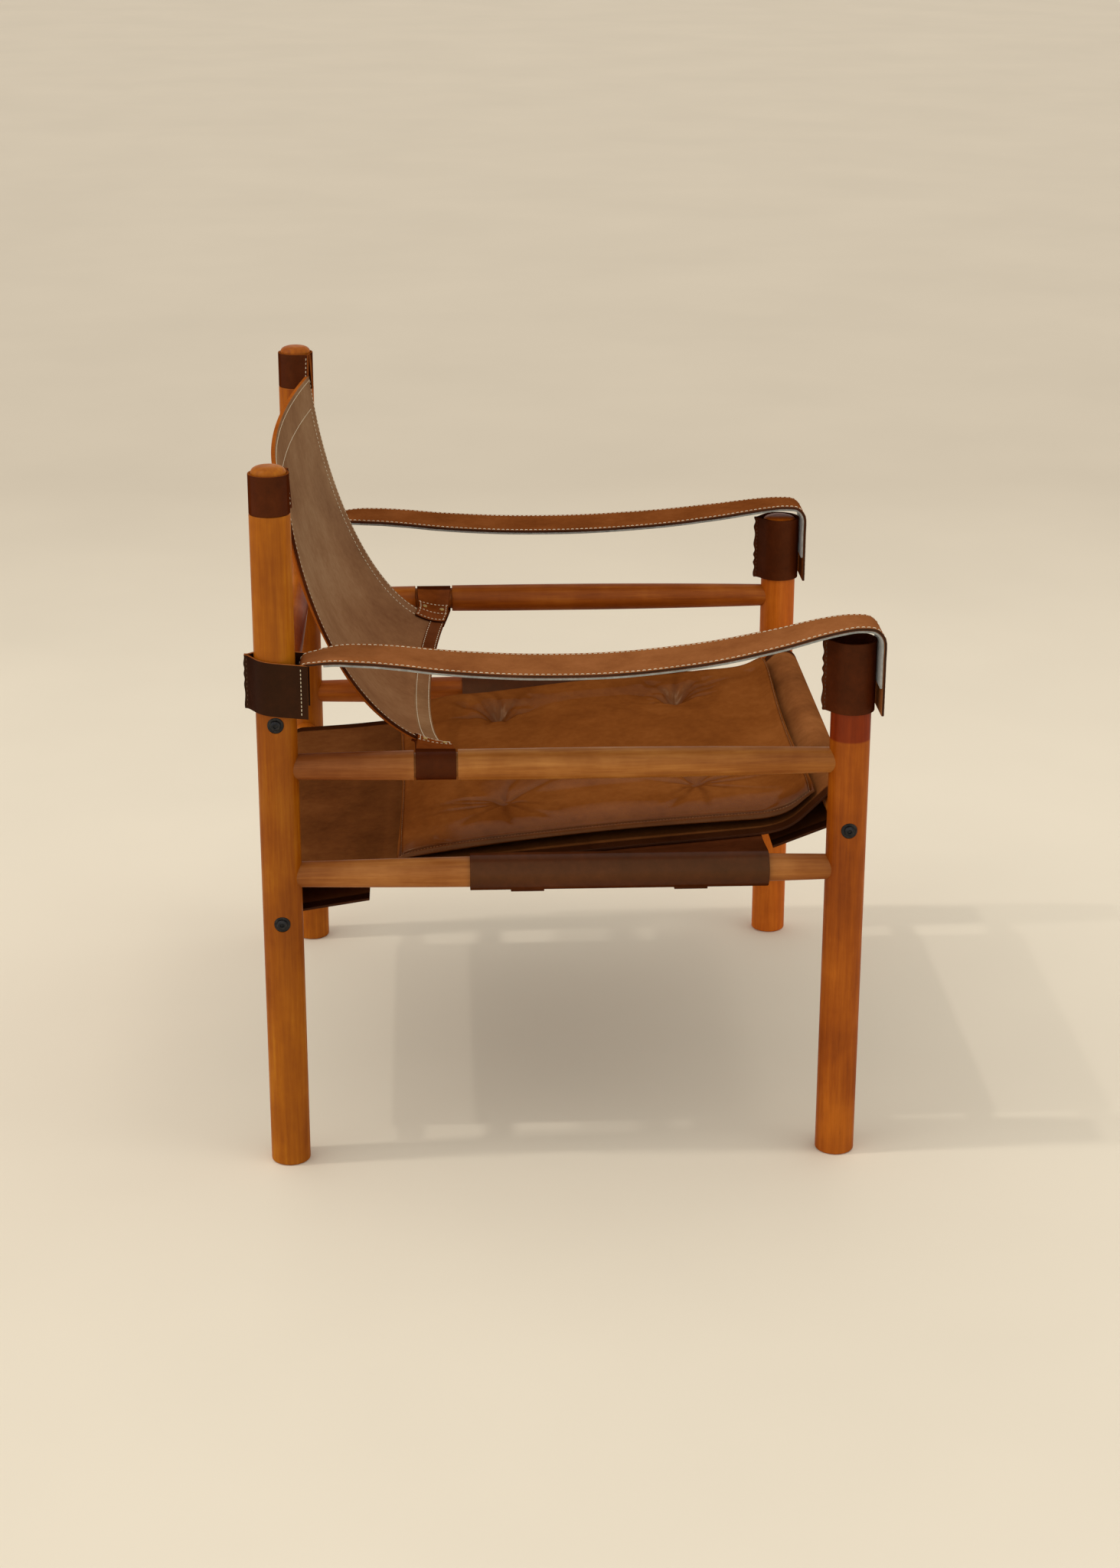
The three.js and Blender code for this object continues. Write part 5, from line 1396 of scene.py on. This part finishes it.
puff_frames = 30
puff_limit = 4.0
tuft_calm = 34.0
tuft_hold = 3.5
cushion_cells = 92
cushion_leather = leather("cushion_leather", (141, 82, 36), (124, 68, 26), (102, 52, 17), 0.28, 0.25, 0.34)
# Painted shade: the cushion grows darker towards its two sides.
for edge in (1, -1):
    tint(cushion_leather, 0, edge * 0.205, edge * 0.243, (0.54, 0.48, 0.52, 1.0))
# Painted shade darkens the creases, tufts and the stitched groove, by a value that the mesh carries.
cushion_fold_shade = add_node(cushion_leather.node_tree, "Attribute", attribute_name="crease_shade")
overlay(cushion_leather, cushion_fold_shade.outputs["Fac"], (0.5, 0.42, 0.4, 1.0))
# Painted shade: the cushion's underside is a dark copy of its leather.
cushion_under = leather("cushion_under", (74, 38, 20), (58, 28, 14), (42, 20, 10), 0.7, 0.6, 0.05)
tufts = [(a * tuft_across, cushion_middle + b * tuft_deep) for a in (-1, 1) for b in (-1, 1)]


def cushion_outline(p, q):
    """Places across and deep for p and q from -1 to 1: sides drawn in at their middles, and
    corners cut round."""
    half_width = cushion_width / 2 - draw_in * (1 - q * q) - corner_round * np.abs(q) ** 14
    half_depth = cushion_depth / 2 - draw_in * (1 - p * p) - corner_round * np.abs(p) ** 14
    return p * half_width, cushion_middle + q * half_depth


def seam_height(p, q):
    """The seam's height over the seat: higher at the sides' middles than at the corners."""
    height = seam_corner + (seam_side - seam_corner) * (1 - q * q)
    height = height + np.where(q < 0, (seam_front - seam_corner) * q**8, 0)
    return height - corner_drop * np.abs(p * q) ** 30


def cushion_crown(p, q):
    """Heights of the top over the seat: a crown that rises inside the seam as the root of the
    product of 1 - p to the sixth and 1 - q to the sixth, with a shallow valley through each side's
    tufts, drawn down at each tuft by a broad and a narrow dip."""
    x, y = cushion_outline(p, q)
    seam = seam_height(p, q)
    crown = ((1 - np.abs(p) ** 6) * (1 - np.abs(q) ** 6)) ** 0.5
    thickness = cushion_thickness + left_side_extra * p + left_roll_extra * np.maximum(p, 0) ** 3
    height = seam + (thickness - seam) * crown
    past = np.maximum(np.abs(y - cushion_middle) - tuft_deep, 0) / tuft_deep
    across = (np.abs(x) - tuft_across) / valley_width
    height = height - valley_depth * np.exp(-(across**2) - 8 * past**2)
    for tuft_x, tuft_y in tufts:
        away = np.hypot(x - tuft_x, y - tuft_y)
        pull = sum(share * np.exp(-((away / radius) ** 2)) for share, radius in tuft_dips)
        height = height + (tuft_height - height) * pull
    return height


def puffed(p, q, height):
    """The top panel blown up as cloth. It is cut larger than its outline, and held at its seam and
    its tufts, so it wrinkles where the seam gathers it. Gives its points in millimetres."""
    x, y = cushion_outline(p, q)
    start = np.stack([x, y, height], axis=-1) * 0.001
    rows, columns = p.shape
    mesh = bpy.data.meshes.new("panel")
    mesh.from_pydata(start.reshape(-1, 3).tolist(), [], grid_faces(rows, columns)[:, ::-1].tolist())
    panel = bpy.data.objects.new("panel", mesh)
    bpy.context.scene.collection.objects.link(panel)
    panel.shape_key_add(name="Basis")
    cut = panel.shape_key_add(name="cut")
    flat = np.stack([p * panel_cut_width / 2, cushion_middle + q * panel_cut_depth / 2, 0 * p], axis=-1)
    cut.data.foreach_set("co", (flat * 0.001).ravel())
    held = np.maximum(np.abs(p), np.abs(q)) > 0.999
    for tuft_x, tuft_y in tufts:
        held = held | (np.hypot(x - tuft_x, y - tuft_y) < tuft_hold)
    group = panel.vertex_groups.new(name="held")
    group.add(np.flatnonzero(held.ravel()).tolist(), 1.0, "REPLACE")
    cloth = panel.modifiers.new("puff", "CLOTH")
    for setting, value in cloth_settings.items():
        setattr(cloth.settings, setting, value)
    cloth.settings.vertex_group_mass = "held"
    cloth.settings.rest_shape_key = cut
    cloth.settings.effector_weights.gravity = 0.0
    cloth.collision_settings.use_collision = False
    cloth.point_cache.frame_start = 1
    cloth.point_cache.frame_end = puff_frames
    for number in range(1, puff_frames + 1):
        bpy.context.scene.frame_set(number)
    result = panel.evaluated_get(bpy.context.evaluated_depsgraph_get())
    places = np.zeros(rows * columns * 3)
    result.data.vertices.foreach_get("co", places)
    bpy.context.scene.frame_set(1)
    bpy.data.objects.remove(panel)
    moved = places.reshape(rows, columns, 3) * 1000 - start * 1000
    far = np.linalg.norm(moved, axis=-1, keepdims=True)
    moved = moved * np.minimum(1, puff_limit / np.maximum(far, 1e-6))
    for tuft_x, tuft_y in tufts:
        away = np.hypot(x - tuft_x, y - tuft_y)[..., None]
        moved = moved * (1 - np.exp(-((away / tuft_calm) ** 2)))
    return start * 1000 + moved


coarse = np.linspace(-1, 1, cushion_cells + 1)
coarse_q, coarse_p = np.meshgrid(coarse, coarse, indexing="ij")
coarse_height = cushion_crown(coarse_p, coarse_q)
coarse_top = puffed(coarse_p, coarse_q, coarse_height)

# The seam is a narrow welt: the two panels lie together outside a line of top stitches, which
# pulls a groove.
welt_height, welt_middle, welt_width = 1.8, 2.2, 1.6
groove_sink, groove_line, groove_width = 2.2, 5.6, 1.4
# Each crease's heading at its tuft, counted from the way out, and its reach.
creases = (
    (-1.3, 50), (-0.8, 74), (-0.35, 84), (0.05, 62), (0.5, 80),
    (1.0, 64), (1.75, 40), (-2.3, 36), (2.9, 44),
)
crease_depth, crease_width = 2.2, 2.6
crease_inset, crease_run = 14.0, 16.0
tuft_shade, tuft_shade_reach, line_shade = 0.45, 8.0, 0.6
near_edge = np.array([0, 0.7, 1.4, 2.1, 2.9, 3.7, 4.5, 5.3, 6.1, 7.0, 8.2, 9.6, 11.2, 13.2])
stitch_row = 7
cushion_pitch = 3.6
edge_shares = 1 - near_edge * 2 / cushion_width
inner_shares = np.linspace(-edge_shares[-1], edge_shares[-1], 210)[1:-1]
fine = np.concatenate([-edge_shares, inner_shares, edge_shares[::-1]])
where = (fine + 1) / 2 * cushion_cells
across = smooth_at(coarse_top.reshape(len(coarse), -1), where).reshape(len(fine), len(coarse), 3)
across = across.transpose(1, 0, 2)
top_face = smooth_at(across.reshape(len(coarse), -1), where).reshape(len(fine), len(fine), 3)
top_face = top_face.transpose(1, 0, 2)
fine_q, fine_p = np.meshgrid(fine, fine, indexing="ij")
from_seam = np.minimum(1 - np.abs(fine_p), 1 - np.abs(fine_q)) * cushion_width / 2
rise = np.clip(from_seam / 1.2, 0, 1)
welt = welt_height * rise * np.exp(-(((from_seam - welt_middle) / welt_width) ** 2))
off_line = from_seam - groove_line
top_face[..., 2] += welt - groove_sink * np.exp(-((off_line / groove_width) ** 2))
inside_welt = np.clip((from_seam - crease_inset) / crease_run, 0, 1)
crease = np.zeros_like(from_seam)
# The painted shade of the stitched groove, the creases and the tufts, from nought to one.
crease_shade = np.exp(-((off_line / welt_width) ** 2))
for number, (tuft_x, tuft_y) in enumerate(tufts):
    dx, dy = top_face[..., 0] - tuft_x, top_face[..., 1] - tuft_y
    away = np.hypot(dx, dy)
    turn = np.arctan2(dy, dx)
    outward = math.atan2(tuft_y - cushion_middle, tuft_x)
    for k, (heading, reach) in enumerate(creases):
        bent = outward + heading + 0.3 * math.sin(5 * k + number) * away / reach
        ahead = np.cos(turn - bent)
        aside = away * np.sin(turn - bent)
        line = np.exp(-((aside / (crease_width + away * 0.05)) ** 2)) * (ahead > 0)
        crease += line * np.clip(away / 9, 0, 1) * np.exp(-((away / reach) ** 2))
    crease_shade = np.maximum(crease_shade, tuft_shade * np.exp(-((away / tuft_shade_reach) ** 2)))
crease_shade = np.maximum(crease_shade, line_shade * np.clip(crease, 0, 1) * inside_welt)
top_face[..., 2] -= crease_depth * crease * inside_welt
bottom_x, bottom_y = cushion_outline(fine_p, fine_q)
under = 1 - (1 - np.abs(fine_p) ** 6) * (1 - np.abs(fine_q) ** 6)
bottom_height = lift_under + (seam_height(fine_p, fine_q) - lift_under) * under
bottom_face = np.stack([bottom_x, bottom_y, bottom_height], axis=-1)
rim = np.maximum(np.abs(fine_p), np.abs(fine_q)) > 1 - 1e-9
bottom_face[rim] = top_face[rim]
for face in (top_face, bottom_face):
    face[..., 2] += np.interp(face[..., 1], seat_upper_span[:, 0], seat_upper_span[:, 1])
points, quads, kinds = sheet_shell(top_face, bottom_face)
materials = [cushion_leather, cushion_under, cushion_leather]
cushion = add_piece("cushion_cover", points, quads, (), materials, kinds, body="cushion")
shade = np.concatenate([crease_shade.ravel(), np.zeros(len(points) - crease_shade.size)])
cushion.data.attributes.new("crease_shade", "FLOAT", "POINT").data.foreach_set("value", shade)
weld = cushion.modifiers.new("seam", "WELD")
weld.merge_threshold = 0.00005
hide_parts("cushion")
gold_thread = thread("gold_thread", (168, 116, 60), (120, 76, 34))
top_normals = surface_normals(top_face)
top_normals = top_normals * np.sign(top_normals[..., 2:])
last = len(fine) - 1
inside = slice(stitch_row, last - stitch_row + 1)
seam_rows = {
    "front": (stitch_row, inside),
    "back": (last - stitch_row, inside),
    "right": (inside, stitch_row),
    "left": (inside, last - stitch_row),
}
for label, where_row in seam_rows.items():
    name = f"cushion_stitches_{label}"
    stitches(name, top_face[where_row], top_normals[where_row], cushion_pitch, gold_thread,
             body="cushion", radius=0.35)
